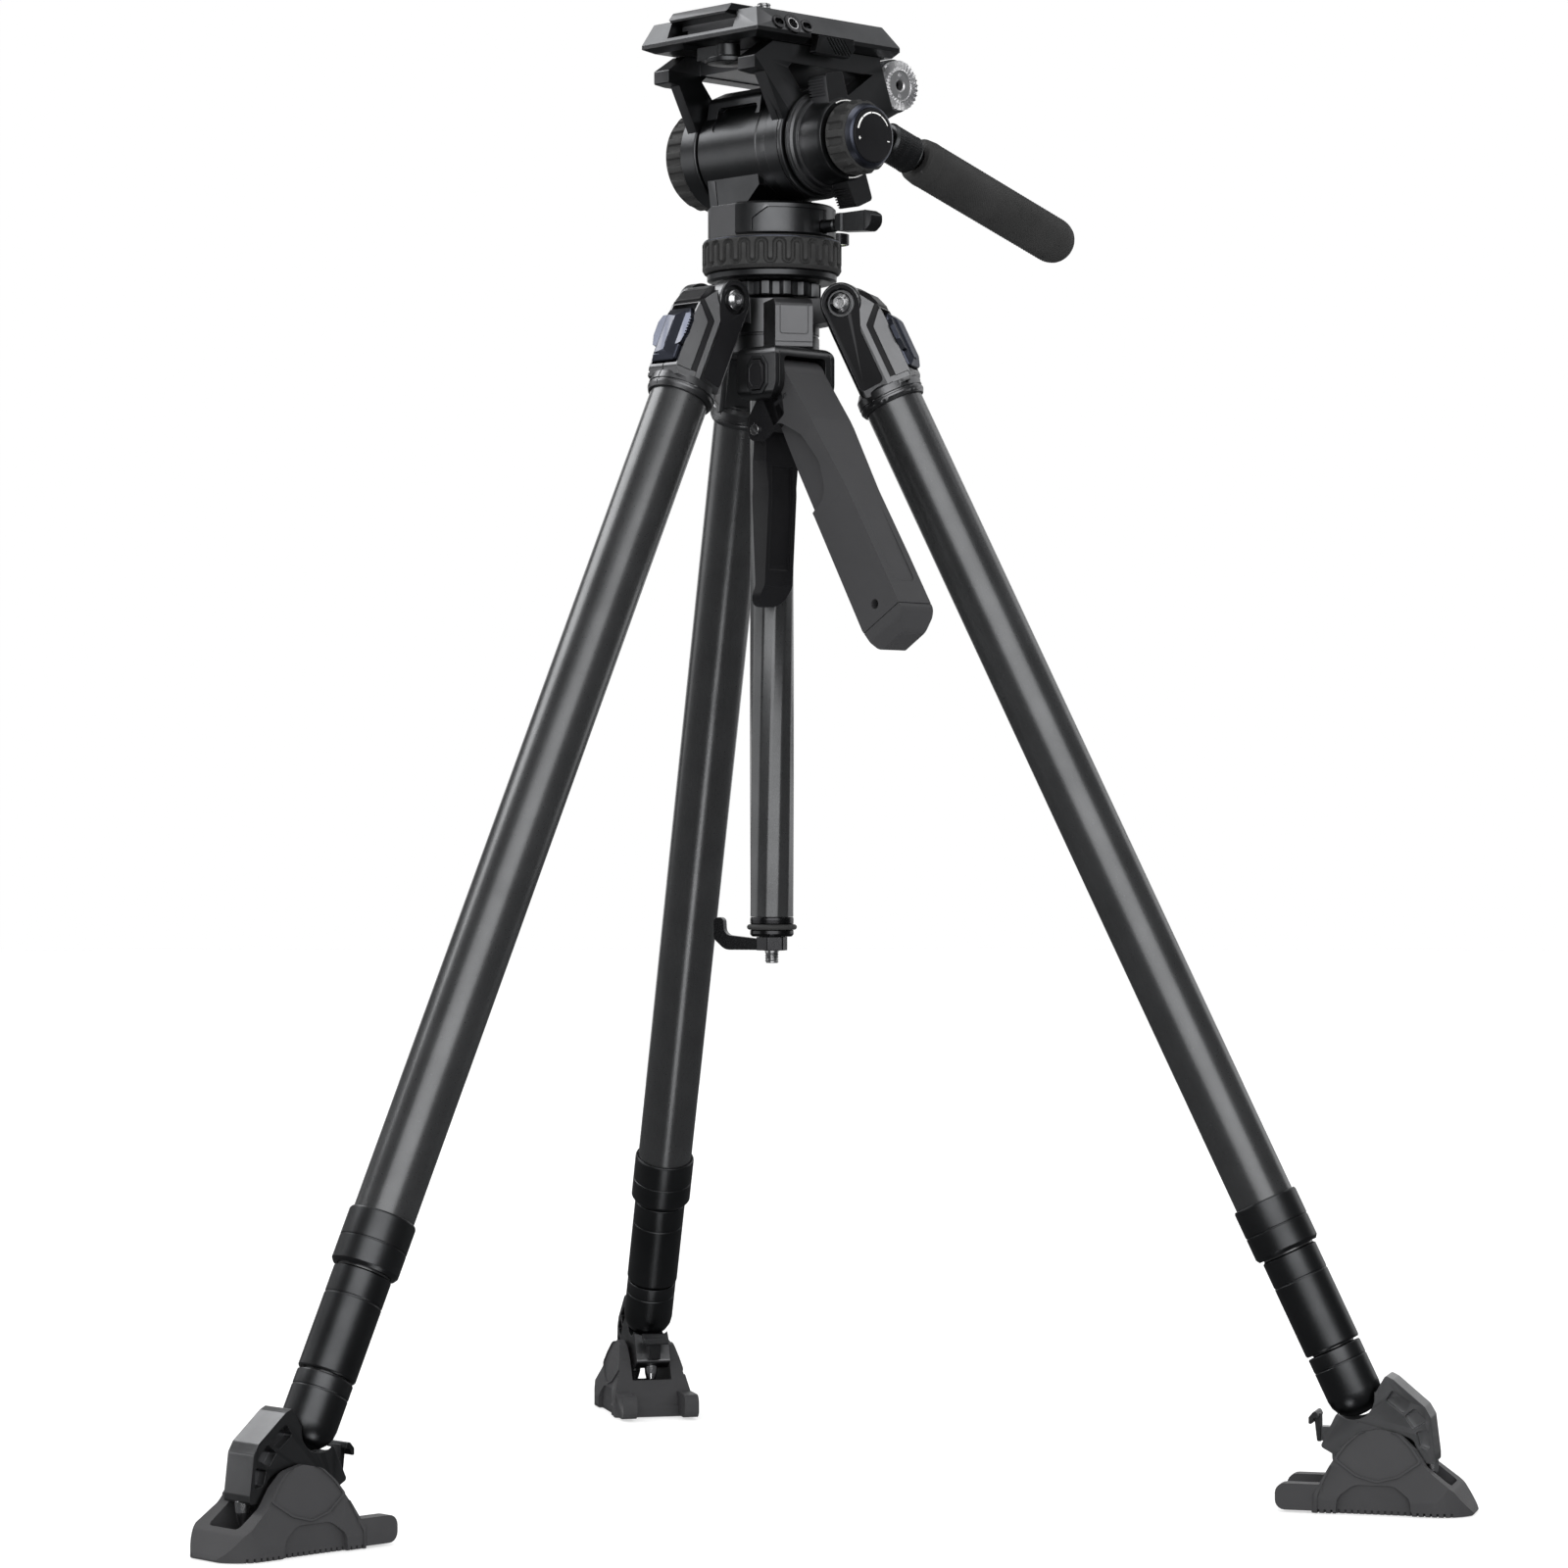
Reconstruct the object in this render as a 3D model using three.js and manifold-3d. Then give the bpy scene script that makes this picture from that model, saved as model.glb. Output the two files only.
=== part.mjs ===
// Tripod with a fluid head: three telescopic carbon legs on a spider, a centre column with a
// weight hook, a folding carry grip, and a pan-and-tilt head with a quick-release plate and pan bar.
// Millimetres, +Z up. The lens looks along -Y, and +X is the operator's left-hand side.
// Everything is placed about the column axis and the ground, then the whole object is shifted
// so that its origin is the middle of its bounding box, on the ground.

import * as THREE from "three";
import { mergeVertices } from "three/addons/utils/BufferGeometryUtils.js";
import Module from "manifold-3d";

const wasm = await Module();
wasm.setup();

// ---- Driving dimensions ----

const GAP = 0.3; // clearance that touching pieces keep
const RUNNING_FIT = 0.4; // radial clearance of a sliding or turning fit
const ROUND = 20; // sides of a large round piece
const SMALL_ROUND = 12; // sides of a small round piece

// Legs: a leg's own frame has its origin on the pivot, X outward and -Z down the leg.
const LEG_AZIMUTHS = { front: -90, left: 30, right: 150 };
const LEG_LEAN = 25.4; // degrees from the vertical
const PIVOT_RADIUS = 50;
const PIVOT_HEIGHT = 741.5;
const SHOULDER_HALF = 20;
const LUG_HALF = 10;
const TUBE_RADIUS = 18.5;
const TUBE_WALL = 1.8;
const CUP_END = 70;
const TUBE_START = 57;
const TUBE_END = 640;
const COLLAR_END = 649;
const SLEEVE_END = 713;
const BALL_DISTANCE = 745.5; // from the pivot, down the leg, to the foot's ball centre

// Foot: its own frame has its origin at the ball centre, level, with X outward.
const BALL_RADIUS = 17.4;
const BALL_HEIGHT = PIVOT_HEIGHT - BALL_DISTANCE * Math.cos(rad(LEG_LEAN));
const FRAME_HALF = 12;
const SHOE_HALF = 29;
const SHOE_SLOT_HALF = 14;

// Spider, column and base of the head
const COLUMN_RADIUS = 14;
const COLUMN_BOTTOM = 357.5;
const COLUMN_TOP = 757;
const HUB_RADIUS = 30;
const HUB_BOTTOM = 711.3;
const HUB_TOP = 746;
const GRIP_AZIMUTH = -30;
const FLANGE_RADIUS = 41;
const DRAG_RING_RADIUS = 44;
const PAN_BASE_RADIUS = 40.5;
const PAN_BASE_BOTTOM = 784.3;
const PAN_BASE_TOP = 805;
const SPINDLE_RADIUS = 9;

// Tilt unit: the tilt axis runs along X
const TILT_HEIGHT = 841.6;
const SHAFT_RADIUS = 8;
const BARREL_RADIUS = 33.5;
const CHEEK_RADIUS = 35;
const BARREL = [-34, 20]; // ends along X
const LEFT_BRACKET = [20.5, 44]; // the cradle's cheek on the operator's left, along X
const RIGHT_BRACKET = [-48, -34.5];
const RECEIVER_HALF_TOP = 47;
const RECEIVER_HALF_WIDTH = 53;
const RECEIVER_EDGE = 907; // height of the receiver's widest edge
const RECEIVER_BOTTOM = 901.5;
const RECEIVER_TOP = 920;
const CHANNEL_FLOOR = 909;
const PLATE_TOP = 924.5;
const PLATE_HALF = 27;
const SCREW_Y = -7;
const SOCKET_Y = -31; // the accessory socket on the receiver's sloping side
const SOCKET_HEIGHT = 911.7;
const RELEASE_BUTTON = [50, 55.5]; // ends along X, at rest
const RELEASE_TRAVEL = 3; // how far the button is pressed in

// Pan bar: its clamp turns on the rosette boss behind the cradle
const ROSETTE_Y = 80;
const ROSETTE_HEIGHT = 888;
const ROSETTE_RADIUS = 15.9; // standard 31.8 mm rosette
const BOSS_HALF = 30;
const PAN_BAR_X = -42;
const PAN_BAR_DROP = 17.6; // degrees below the horizontal

// Carry grip
const GRIP_PIVOT = [48, -29, 690];
const GRIP_LEAN = 31.5; // degrees from the vertical
const GRIP_HALF = 17.3;
const TRIGGER_PIVOT = [34, -29, 660];

// ---- Materials ----

const metalBlack = new THREE.MeshStandardMaterial({ color: 0x1a1b1d, roughness: 0.38, metalness: 0.7 });
const carbon = new THREE.MeshStandardMaterial({ color: 0x26282a, roughness: 0.3, metalness: 0.2 });
const rubber = new THREE.MeshStandardMaterial({ color: 0x242424, roughness: 0.75, metalness: 0 });
const plastic = new THREE.MeshStandardMaterial({ color: 0x18191a, roughness: 0.55, metalness: 0 });
const slate = new THREE.MeshStandardMaterial({ color: 0x5a6078, roughness: 0.3, metalness: 0.5 });
const steel = new THREE.MeshStandardMaterial({ color: 0xb9bbbd, roughness: 0.3, metalness: 0.95 });
const glass = new THREE.MeshStandardMaterial({ color: 0x9fb53a, roughness: 0.1, metalness: 0 });

// ---- Building blocks ----

function rad(degrees) {
  return THREE.MathUtils.degToRad(degrees);
}

// A triangle list without the triangles that have collapsed on an axis, facing outward.
function facesOf(geometry) {
  const point = (i) => new THREE.Vector3().fromBufferAttribute(geometry.attributes.position, i);
  const faces = [];
  let volume = 0;
  for (let i = 0; i < geometry.index.count; i += 3) {
    const [a, b, c] = geometry.index.array.slice(i, i + 3);
    if (a === b || b === c || c === a) continue;
    faces.push([a, b, c]);
    volume += point(a).dot(point(b).cross(point(c)));
  }
  return volume < 0 ? faces.map(([a, b, c]) => [a, c, b]) : faces;
}

function toManifold(geometry) {
  const bare = geometry.clone();
  bare.deleteAttribute("normal");
  bare.deleteAttribute("uv");
  const merged = mergeVertices(bare, 1e-4);
  const vertProperties = new Float32Array(merged.attributes.position.array);
  const triVerts = new Uint32Array(facesOf(merged).flat());
  return new wasm.Manifold(new wasm.Mesh({ numProp: 3, vertProperties, triVerts }));
}

function toGeometry(manifold) {
  const { vertProperties, triVerts } = manifold.getMesh();
  const geometry = new THREE.BufferGeometry();
  geometry.setAttribute("position", new THREE.BufferAttribute(vertProperties, 3));
  geometry.setIndex(new THREE.BufferAttribute(triVerts, 1));
  return geometry;
}

function join(...shapes) {
  return toGeometry(shapes.map(toManifold).reduce((whole, next) => whole.add(next)));
}

function cut(shape, ...tools) {
  return toGeometry(tools.map(toManifold).reduce((left, tool) => left.subtract(tool), toManifold(shape)));
}

function common(...shapes) {
  return toGeometry(shapes.map(toManifold).reduce((whole, next) => whole.intersect(next)));
}

// A closed outline through its corners; a corner's third number is the radius that rounds it off.
function outline(corners, arcSteps = 3) {
  const points = [];
  corners.forEach(([x, y, radius = 0], i) => {
    const here = new THREE.Vector2(x, y);
    if (radius === 0) {
      points.push(here);
      return;
    }
    const toward = (j) => {
      const [nextX, nextY] = corners[(j + corners.length) % corners.length];
      return new THREE.Vector2(nextX, nextY).sub(here).normalize();
    };
    const before = toward(i - 1);
    const after = toward(i + 1);
    const half = Math.acos(before.dot(after)) / 2;
    const middle = before.clone().add(after).normalize();
    const centre = here.clone().addScaledVector(middle, radius / Math.sin(half));
    const start = here.clone().addScaledVector(before, radius / Math.tan(half)).sub(centre);
    const end = here.clone().addScaledVector(after, radius / Math.tan(half)).sub(centre);
    const turn = Math.atan2(start.cross(end), start.dot(end));
    for (let k = 0; k <= arcSteps; k += 1) {
      points.push(start.clone().rotateAround(new THREE.Vector2(), (turn * k) / arcSteps).add(centre));
    }
  });
  return new THREE.Shape(points);
}

function extrude(corners, depth) {
  return new THREE.ExtrudeGeometry(outline(corners), { depth, bevelEnabled: false });
}

// Prisms with the outline in the YZ, XZ or XY plane, between two places along the third axis.
function prismX(corners, from, to) {
  const turn = new THREE.Matrix4().makeBasis(
    new THREE.Vector3(0, 1, 0),
    new THREE.Vector3(0, 0, 1),
    new THREE.Vector3(1, 0, 0),
  );
  return extrude(corners, to - from).applyMatrix4(turn).translate(from, 0, 0);
}

function prismY(corners, from, to) {
  return extrude(corners, to - from).rotateX(Math.PI / 2).translate(0, to, 0);
}

function prismZ(corners, from, to) {
  return extrude(corners, to - from).translate(0, 0, from);
}

function block(x0, x1, y0, y1, z0, z1) {
  const box = new THREE.BoxGeometry(x1 - x0, y1 - y0, z1 - z0);
  return box.translate((x0 + x1) / 2, (y0 + y1) / 2, (z0 + z1) / 2);
}

// A shape turned about an axis, from a closed [radius, place along the axis] profile.
function turned(axis, profile, sides = ROUND, [u, v] = [0, 0]) {
  const points = profile.map(([radius, place]) => new THREE.Vector2(radius, place));
  const onAxis = profile[0][0] === 0 && profile.at(-1)[0] === 0;
  if (!onAxis) points.push(points[0].clone());
  const geometry = new THREE.LatheGeometry(points, sides);
  if (axis === "x") return geometry.rotateZ(-Math.PI / 2).translate(0, u, v);
  if (axis === "y") return geometry.translate(u, 0, v);
  return geometry.rotateX(Math.PI / 2).translate(u, v, 0);
}

function rod(axis, radius, from, to, centre = [0, 0], sides = ROUND) {
  return turned(axis, [[0, from], [radius, from], [radius, to], [0, to]], sides, centre);
}

function ring(axis, outer, inner, from, to, centre = [0, 0], sides = ROUND) {
  return turned(axis, [[inner, from], [outer, from], [outer, to], [inner, to]], sides, centre);
}

// A disc whose rim steps in and out between two radii.
function toothedDisc(teeth, outer, inner, from, to) {
  const rim = [];
  for (let i = 0; i < teeth * 4; i += 1) {
    const radius = i % 4 < 2 ? outer : inner;
    const angle = (Math.PI * 2 * i) / (teeth * 4);
    rim.push([radius * Math.cos(angle), radius * Math.sin(angle)]);
  }
  return prismZ(rim, from, to);
}

function piece(name, shape, material) {
  const mesh = new THREE.Mesh(join(shape), material);
  mesh.name = name;
  return mesh;
}

function groupAt(position, ...children) {
  const group = new THREE.Group();
  group.position.set(...position);
  group.add(...children);
  return group;
}

// ---- Leg, in the leg's own frame ----

function shoulder() {
  const side = [[-13, 0], [13, 0], [21, -14], [21, -52], [18, -60], [-14, -60], [-14, -20]];
  const angleStop = block(4, 17, -12, 12, -10, 4);
  const body = join(
    prismY(side, -SHOULDER_HALF, SHOULDER_HALF),
    rod("y", 13, -SHOULDER_HALF, SHOULDER_HALF),
    rod("z", 21.3, -CUP_END, -44),
    angleStop,
  );
  const slotHalf = LUG_HALF + 2 * GAP;
  const boltRecesses = [-1, 1].map((way) => block(-9, 9, way > 0 ? 17 : -30, way > 0 ? 30 : -17, -9, 9));
  return cut(
    body,
    block(-40, 12, -slotHalf, slotHalf, -16, 40),
    rod("y", 4.4, -30, 30, [0, 0], SMALL_ROUND),
    ...boltRecesses,
    rod("z", TUBE_RADIUS + RUNNING_FIT, -CUP_END - 1, GAP - TUBE_START),
    block(14.5, 40, -11.3, 11.3, -55, -12),
  );
}

function angleTab() {
  const roof = [[15, -10.7], [23, -10.7], [27, -4], [27, 4], [23, 10.7], [15, 10.7]];
  return join(prismZ(roof, -54, -16), block(21.5, 24, -15, 15, -44, -22));
}

function upperTube() {
  return ring("z", TUBE_RADIUS, TUBE_RADIUS - TUBE_WALL, -TUBE_END, -TUBE_START);
}

function lowerCollar() {
  const bore = TUBE_RADIUS + GAP;
  const mouth = 16.6;
  const shelf = -TUBE_END - GAP;
  return turned("z", [
    [bore, shelf], [bore, -615], [20.4, -615], [20.4, -COLLAR_END], [mouth, -COLLAR_END], [mouth, shelf],
  ]);
}

function middleStage() {
  const top = -110;
  const sleeveTop = -COLLAR_END - 1;
  return turned("z", [
    [14, -SLEEVE_END], [17.5, -SLEEVE_END], [17.5, sleeveTop], [16.2, sleeveTop], [16.2, top], [14, top],
  ]);
}

function lowerStage() {
  const top = -150;
  const adapterTop = -SLEEVE_END - 1.5;
  return turned("z", [
    [0, -SLEEVE_END], [11.9, -SLEEVE_END], [11.9, top], [13.6, top], [13.6, adapterTop],
    [17, adapterTop], [17, -742], [16, -748], [13, -753.5], [8.5, -757], [0, -757],
  ]);
}

function pivotBolt() {
  const head = 22.5;
  return turned("y", [
    [0, -head], [4.5, -head], [6.8, 1.6 - head], [6.8, -17.3], [4, -17.3],
    [4, 17.3], [6.8, 17.3], [6.8, head - 1.6], [4.5, head], [0, head],
  ], SMALL_ROUND);
}

// ---- Foot, in the foot's own frame ----

function footFrame() {
  const side = [
    [-19.7, -30], [-10, -35.4], [8, -26], [24, -19], [37, -24], [42, -38], [50.2, -38], [50.2, -33],
    [47.4, -10.2], [43.9, -4.1], [24.8, 11.9], [20, 14.2], [14, 4], [0, 0], [-10.5, -11],
  ];
  const socket = new THREE.SphereGeometry(BALL_RADIUS + RUNNING_FIT, ROUND, SMALL_ROUND);
  const legRoom = rod("z", BALL_RADIUS + RUNNING_FIT, 0, 40);
  const pockets = [
    [[24, 5.5], [35.9, -1.8], [30.3, -9], [20, -1.1]],
    [[37.5, -4.9], [45.4, -13.6], [36.7, -17.8], [31.1, -10.2]],
    [[38.3, -19.4], [46.2, -18.6], [47, -30], [39.9, -28]],
  ].flatMap((corners) => [prismY(corners, 8, 13), prismY(corners, -13, -8)]);
  const spikes = [[46, -37, -56], [-10, -32, -54]].map(([x, root, tip]) =>
    turned("z", [[0, tip], [4.5, root - 6], [4.5, root], [0, root]], SMALL_ROUND, [x, 0]));
  const bare = cut(prismY(side, -FRAME_HALF, FRAME_HALF), socket, legRoom, ...pockets);
  return join(bare, ...spikes);
}

function footShoe() {
  const sole = -BALL_HEIGHT;
  const side = [
    [-23, sole], [74, sole], [72, -65], [63, -53], [45.4, -39], [39, -29], [31, -21.5], [16.8, -17.5, 6],
    [2.6, -21.5], [-5.4, -29], [-11.8, -39], [-23, -60],
  ];
  const end = [
    [-SHOE_HALF, sole], [SHOE_HALF, sole], [SHOE_HALF, -60], [25, -40], [20, -17],
    [-20, -17], [-25, -40], [-SHOE_HALF, -60],
  ];
  const plan = [[-23, -SHOE_HALF], [74, -SHOE_HALF, 24], [74, SHOE_HALF, 24], [-23, SHOE_HALF]];
  const shell = common(prismY(side, -SHOE_HALF, SHOE_HALF), prismX(end, -23, 74), prismZ(plan, sole, -17));
  const slot = block(-14, 60, -SHOE_SLOT_HALF, SHOE_SLOT_HALF, -60, 0);
  const prongs = [[17, 27], [-27, -17]].map(([near, far]) => block(-45, -16, near, far, -66, -51));
  return join(cut(shell, slot), ...prongs);
}

function footLatch() {
  return join(block(-25, -20.6, -4, 4, -28, -11), block(-27.5, -22, -9, 9, -14, -8));
}

// ---- Spider, column and hook ----

function spiderHub() {
  const barrel = rod("z", HUB_RADIUS, HUB_BOTTOM, HUB_TOP);
  const lugs = Object.values(LEG_AZIMUTHS).map((azimuth) => {
    const lug = join(
      block(20, PIVOT_RADIUS, -LUG_HALF, LUG_HALF, 731, HUB_TOP),
      rod("y", 10.5, -LUG_HALF, LUG_HALF, [PIVOT_RADIUS, PIVOT_HEIGHT]),
    );
    return cut(lug, rod("y", 4.3, -30, 30, [PIVOT_RADIUS, PIVOT_HEIGHT], SMALL_ROUND)).rotateZ(rad(azimuth));
  });
  const front = [[20, HUB_BOTTOM], [58, HUB_BOTTOM], [58, 738, 4], [54, 742, 2], [20, 742]];
  const gripMount = prismY(front, -12, 12).rotateZ(rad(GRIP_AZIMUTH));
  const bore = rod("z", COLUMN_RADIUS + 2 * GAP, HUB_BOTTOM - 1, HUB_TOP + 1);
  return cut(join(barrel, ...lugs, gripMount), bore);
}

function columnLockCollar() {
  const bore = rod("z", COLUMN_RADIUS + 2 * GAP, 740, 760);
  return cut(toothedDisc(12, 31, 28.5, HUB_TOP + 1, COLUMN_TOP - GAP), bore);
}

function columnTube() {
  return ring("z", COLUMN_RADIUS, COLUMN_RADIUS - TUBE_WALL, COLUMN_BOTTOM, COLUMN_TOP);
}

// A ferrule with a rubber ring, the hook's spindle and the threaded stud on the end.
function columnEndCap() {
  const top = COLUMN_BOTTOM - GAP;
  return turned("z", [
    [0, 328.3], [4.35, 328.3], [4.35, 336], [5, 336], [5, 345], [13.7, 345], [13.7, 348.5],
    [15.8, 349.7], [15.8, 352.3], [13.7, 353.5], [13.7, top], [0, top],
  ], ROUND);
}

function weightHook() {
  const hub = ring("z", 10, 5.4, 336.3, 344.7, [0, 0], SMALL_ROUND);
  const side = [
    [8, 336.5], [30, 336.5, 6], [37.5, 343, 6], [37.5, 357], [31, 357], [30.5, 346, 4], [8, 343.2],
  ];
  return join(hub, prismY(side, -3.4, 3.4));
}

// ---- Carry grip ----

function handleBracket() {
  const [x, y, z] = GRIP_PIVOT;
  const slotHalf = GRIP_HALF + 2 * GAP;
  const shell = prismY([[25.7, 678, 5], [60, 678, 8], [60, 711, 4], [25.7, 711]], y - 25.5, y + 25.5);
  const room = block(x - 15, 70, y - slotHalf, y + slotHalf, 670, z + 14.3);
  const buttonRoom = rod("y", 7.4, y - 30, y - slotHalf + 1, [x - 4, z + 3], 8);
  return cut(shell, room, buttonRoom);
}

function handleLockButton() {
  const [x, y, z] = GRIP_PIVOT;
  const slotHalf = GRIP_HALF + 2 * GAP;
  return rod("y", 7, y - 27.5, y - slotHalf - 3.2, [x - 4, z + 3], 8);
}

// In the grip's own frame: origin on its pivot, X outward and -Z down the grip.
function gripHandle() {
  const side = [
    [-12.5, 0], [12.5, 0], [16, -40], [17.5, -140], [17.5, -180, 6], [8, -191, 6], [-14, -191, 4],
    [-17.5, -174, 4], [-15, -60, 20], [-13, -20],
  ];
  const front = [
    [-GRIP_HALF, 14], [GRIP_HALF, 14], [GRIP_HALF, -46], [14, -92], [14, -184, 5], [9, -192, 3],
    [-9, -192, 3], [-14, -184, 5], [-14, -92], [-GRIP_HALF, -46],
  ];
  const body = join(prismY(side, -GRIP_HALF, GRIP_HALF), rod("y", 13.3, -GRIP_HALF, GRIP_HALF));
  return common(body, prismX(front, -20, 20));
}

// The two ears that carry the trigger, in the object's frame before the grip leans out.
function triggerEars() {
  const [x, y, z] = TRIGGER_PIVOT;
  const side = [[x - 7, z - 6, 5], [x + 6, z - 8, 4], [60, 668], [56, 690], [42, 690], [x - 7, z + 8, 4]];
  const screws = rod("y", 4, y - 19, y + 19, [x, z], SMALL_ROUND);
  const ears = join(prismY(side, y - GRIP_HALF, y + GRIP_HALF), screws);
  return cut(ears, block(x - 20, 47, y - 14.6, y + 14.6, z - 20, z + 20));
}

function gripWithEars() {
  const [x, y, z] = GRIP_PIVOT;
  const ears = triggerEars().translate(-x, -y, -z).rotateY(rad(GRIP_LEAN));
  const strapHole = rod("y", 3, -30, 30, [0, -166], SMALL_ROUND);
  return cut(join(gripHandle(), ears), strapHole);
}

// In the trigger's own frame: origin on its pivot.
function triggerLever() {
  const side = [
    [-5, 5, 3], [5, 5, 3], [6, -40], [2.5, -96, 4], [-9, -112, 1.5], [-13, -110, 1], [-6, -96, 4],
    [-9, -40], [-5.5, -12],
  ];
  const front = [
    [-14, 3], [14, 3], [14, -19], [12, -35], [12, -109, 6], [-12, -109, 6], [-12, -35], [-14, -19],
  ];
  return common(prismY(side, -14, 14), prismX(front, -20, 20));
}

// ---- Head: pan unit ----

function headBaseFlange() {
  const bottom = COLUMN_TOP + GAP;
  const bore = SPINDLE_RADIUS + RUNNING_FIT;
  return turned("z", [
    [0, bottom], [FLANGE_RADIUS, bottom], [FLANGE_RADIUS, 762.5], [30, 762.5], [30, 784],
    [bore, 784], [bore, 764], [0, 764],
  ]);
}

function panDragRing() {
  const bore = rod("z", 30.5, 760, 790);
  return cut(toothedDisc(14, DRAG_RING_RADIUS, DRAG_RING_RADIUS - 2, 762.8, 783.8), bore);
}

function panBase() {
  const body = rod("z", PAN_BASE_RADIUS, PAN_BASE_BOTTOM, PAN_BASE_TOP);
  return cut(
    body,
    rod("z", SPINDLE_RADIUS + RUNNING_FIT, PAN_BASE_BOTTOM - 1, 803.5),
    block(-60, 8, -60, -34, 780, 810),
    rod("x", 4.6, 34, 60, [8, 790.5], SMALL_ROUND),
    rod("z", 8.4, 780, 810, bubbleCentre(), SMALL_ROUND),
  );
}

function panSpindle() {
  return rod("z", SPINDLE_RADIUS, 765, 803);
}

function panLockLever() {
  const shaft = rod("x", 4.1, 35, 56, [8, 790.5], SMALL_ROUND);
  const tab = [
    [53.5, 786, 2], [80, 784, 4], [85.5, 788, 4], [85.5, 794, 2], [80, 797, 2], [53.5, 797, 2],
  ];
  return join(shaft, prismY(tab, 3, 13));
}

function bubbleCentre() {
  return [47 * Math.cos(rad(75)), 47 * Math.sin(rad(75))];
}

function bubbleLevel() {
  return rod("z", 8, 784.6, 792, bubbleCentre(), SMALL_ROUND);
}

// ---- Head: tilt unit ----

const TILT_AXIS = [0, TILT_HEIGHT]; // where the tilt axis crosses the YZ plane

function dragBarrel() {
  const pedestal = [[-25, PAN_BASE_TOP + GAP], [25, PAN_BASE_TOP + GAP], [28, 825], [-28, 825]];
  const saddle = [[-29, 850], [-25, 874], [-10, 880.5], [20, 880.5], [27, 872], [29, 850]];
  const body = join(
    rod("x", BARREL_RADIUS, ...BARREL, TILT_AXIS),
    prismX(pedestal, -30, 16),
    prismX(saddle, -31, 17),
  );
  return cut(body, rod("x", SHAFT_RADIUS + RUNNING_FIT, -40, 30, TILT_AXIS));
}

function tiltShaft() {
  return rod("x", SHAFT_RADIUS, -62, 86, TILT_AXIS);
}

// A cheek of the cradle: a ring on the shaft, two arms up to the platform and one back to the boss.
function cradleCheek(from, to) {
  const above = (corners) => corners.map(([y, z, r]) => [y, z + TILT_HEIGHT, r]);
  const arms = above([
    [-33, 12], [-48, 40], [-57, 41], [-57, 49], [-41, 59.6],
    [60, 59.6], [80, 59.6], [92, 48], [78, 31], [33, 8],
  ]);
  const window = above([[-28.5, 44.5], [-15.5, 29.5], [22, 31], [38, 43], [42, 46], [40, 48], [-25, 48]]);
  const frame = cut(prismX(arms, from, to), prismX(window, -60, 60));
  return join(frame, rod("x", CHEEK_RADIUS, from, to, TILT_AXIS));
}

function tiltCradle() {
  const platform = block(RIGHT_BRACKET[0], LEFT_BRACKET[1], -30, 56, TILT_HEIGHT + 48, RECEIVER_BOTTOM - GAP);
  const boss = rod("x", 17.2, -BOSS_HALF, BOSS_HALF, [ROSETTE_Y, ROSETTE_HEIGHT]);
  const cheeks = join(cradleCheek(29, LEFT_BRACKET[1]), cradleCheek(...RIGHT_BRACKET));
  const leftRing = rod("x", CHEEK_RADIUS, LEFT_BRACKET[0], 30, TILT_AXIS);
  const body = join(cheeks, leftRing, platform);
  const rosetteRoom = [[BOSS_HALF - 1, 70], [-70, 1 - BOSS_HALF]].map(([from, to]) =>
    rod("x", 18.5, from, to, [ROSETTE_Y, ROSETTE_HEIGHT]));
  const shaftBore = rod("x", SHAFT_RADIUS + RUNNING_FIT, -70, 70, TILT_AXIS);
  const screwHole = rod("x", 3.3, 10, 40, [ROSETTE_Y, ROSETTE_HEIGHT], SMALL_ROUND);
  const bossBridge = block(-BOSS_HALF, BOSS_HALF, 50, 78, ROSETTE_HEIGHT + 2, RECEIVER_BOTTOM - GAP);
  return cut(join(cut(body, ...rosetteRoom), boss, bossBridge), shaftBore, screwHole);
}

function counterbalanceDial() {
  const rim = toothedDisc(20, 32.5, 31, 0, 17).rotateY(-Math.PI / 2).translate(-49, 0, TILT_HEIGHT);
  return cut(rim, rod("x", SHAFT_RADIUS + RUNNING_FIT, -63, -48, TILT_AXIS));
}

function tiltLockLever() {
  const hub = turned("x", [[0, 45], [32.5, 45], [32.5, 49], [27, 53], [25, 69], [0, 69]], ROUND, TILT_AXIS);
  const wing = prismX([[-9, 18], [9, 18], [7.5, 42, 2], [-7.5, 42, 2]], 50, 66);
  const wings = [14, 204].map((turn) => wing.clone().rotateX(rad(turn)).translate(0, 0, TILT_HEIGHT));
  return cut(join(hub, ...wings), rod("x", SHAFT_RADIUS + RUNNING_FIT, 44, 70, TILT_AXIS));
}

function tiltDragKnob() {
  const grip = toothedDisc(14, 23, 21.8, 0, 14).rotateY(Math.PI / 2).translate(70, 0, TILT_HEIGHT);
  const cap = turned("x", [[0, 83], [21, 83], [18.5, 88], [16.4, 91.5], [0, 91.5]], ROUND, TILT_AXIS);
  return cut(join(grip, cap), rod("x", SHAFT_RADIUS + RUNNING_FIT, 69, 86.4, TILT_AXIS));
}

// ---- Head: camera plate ----

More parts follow.
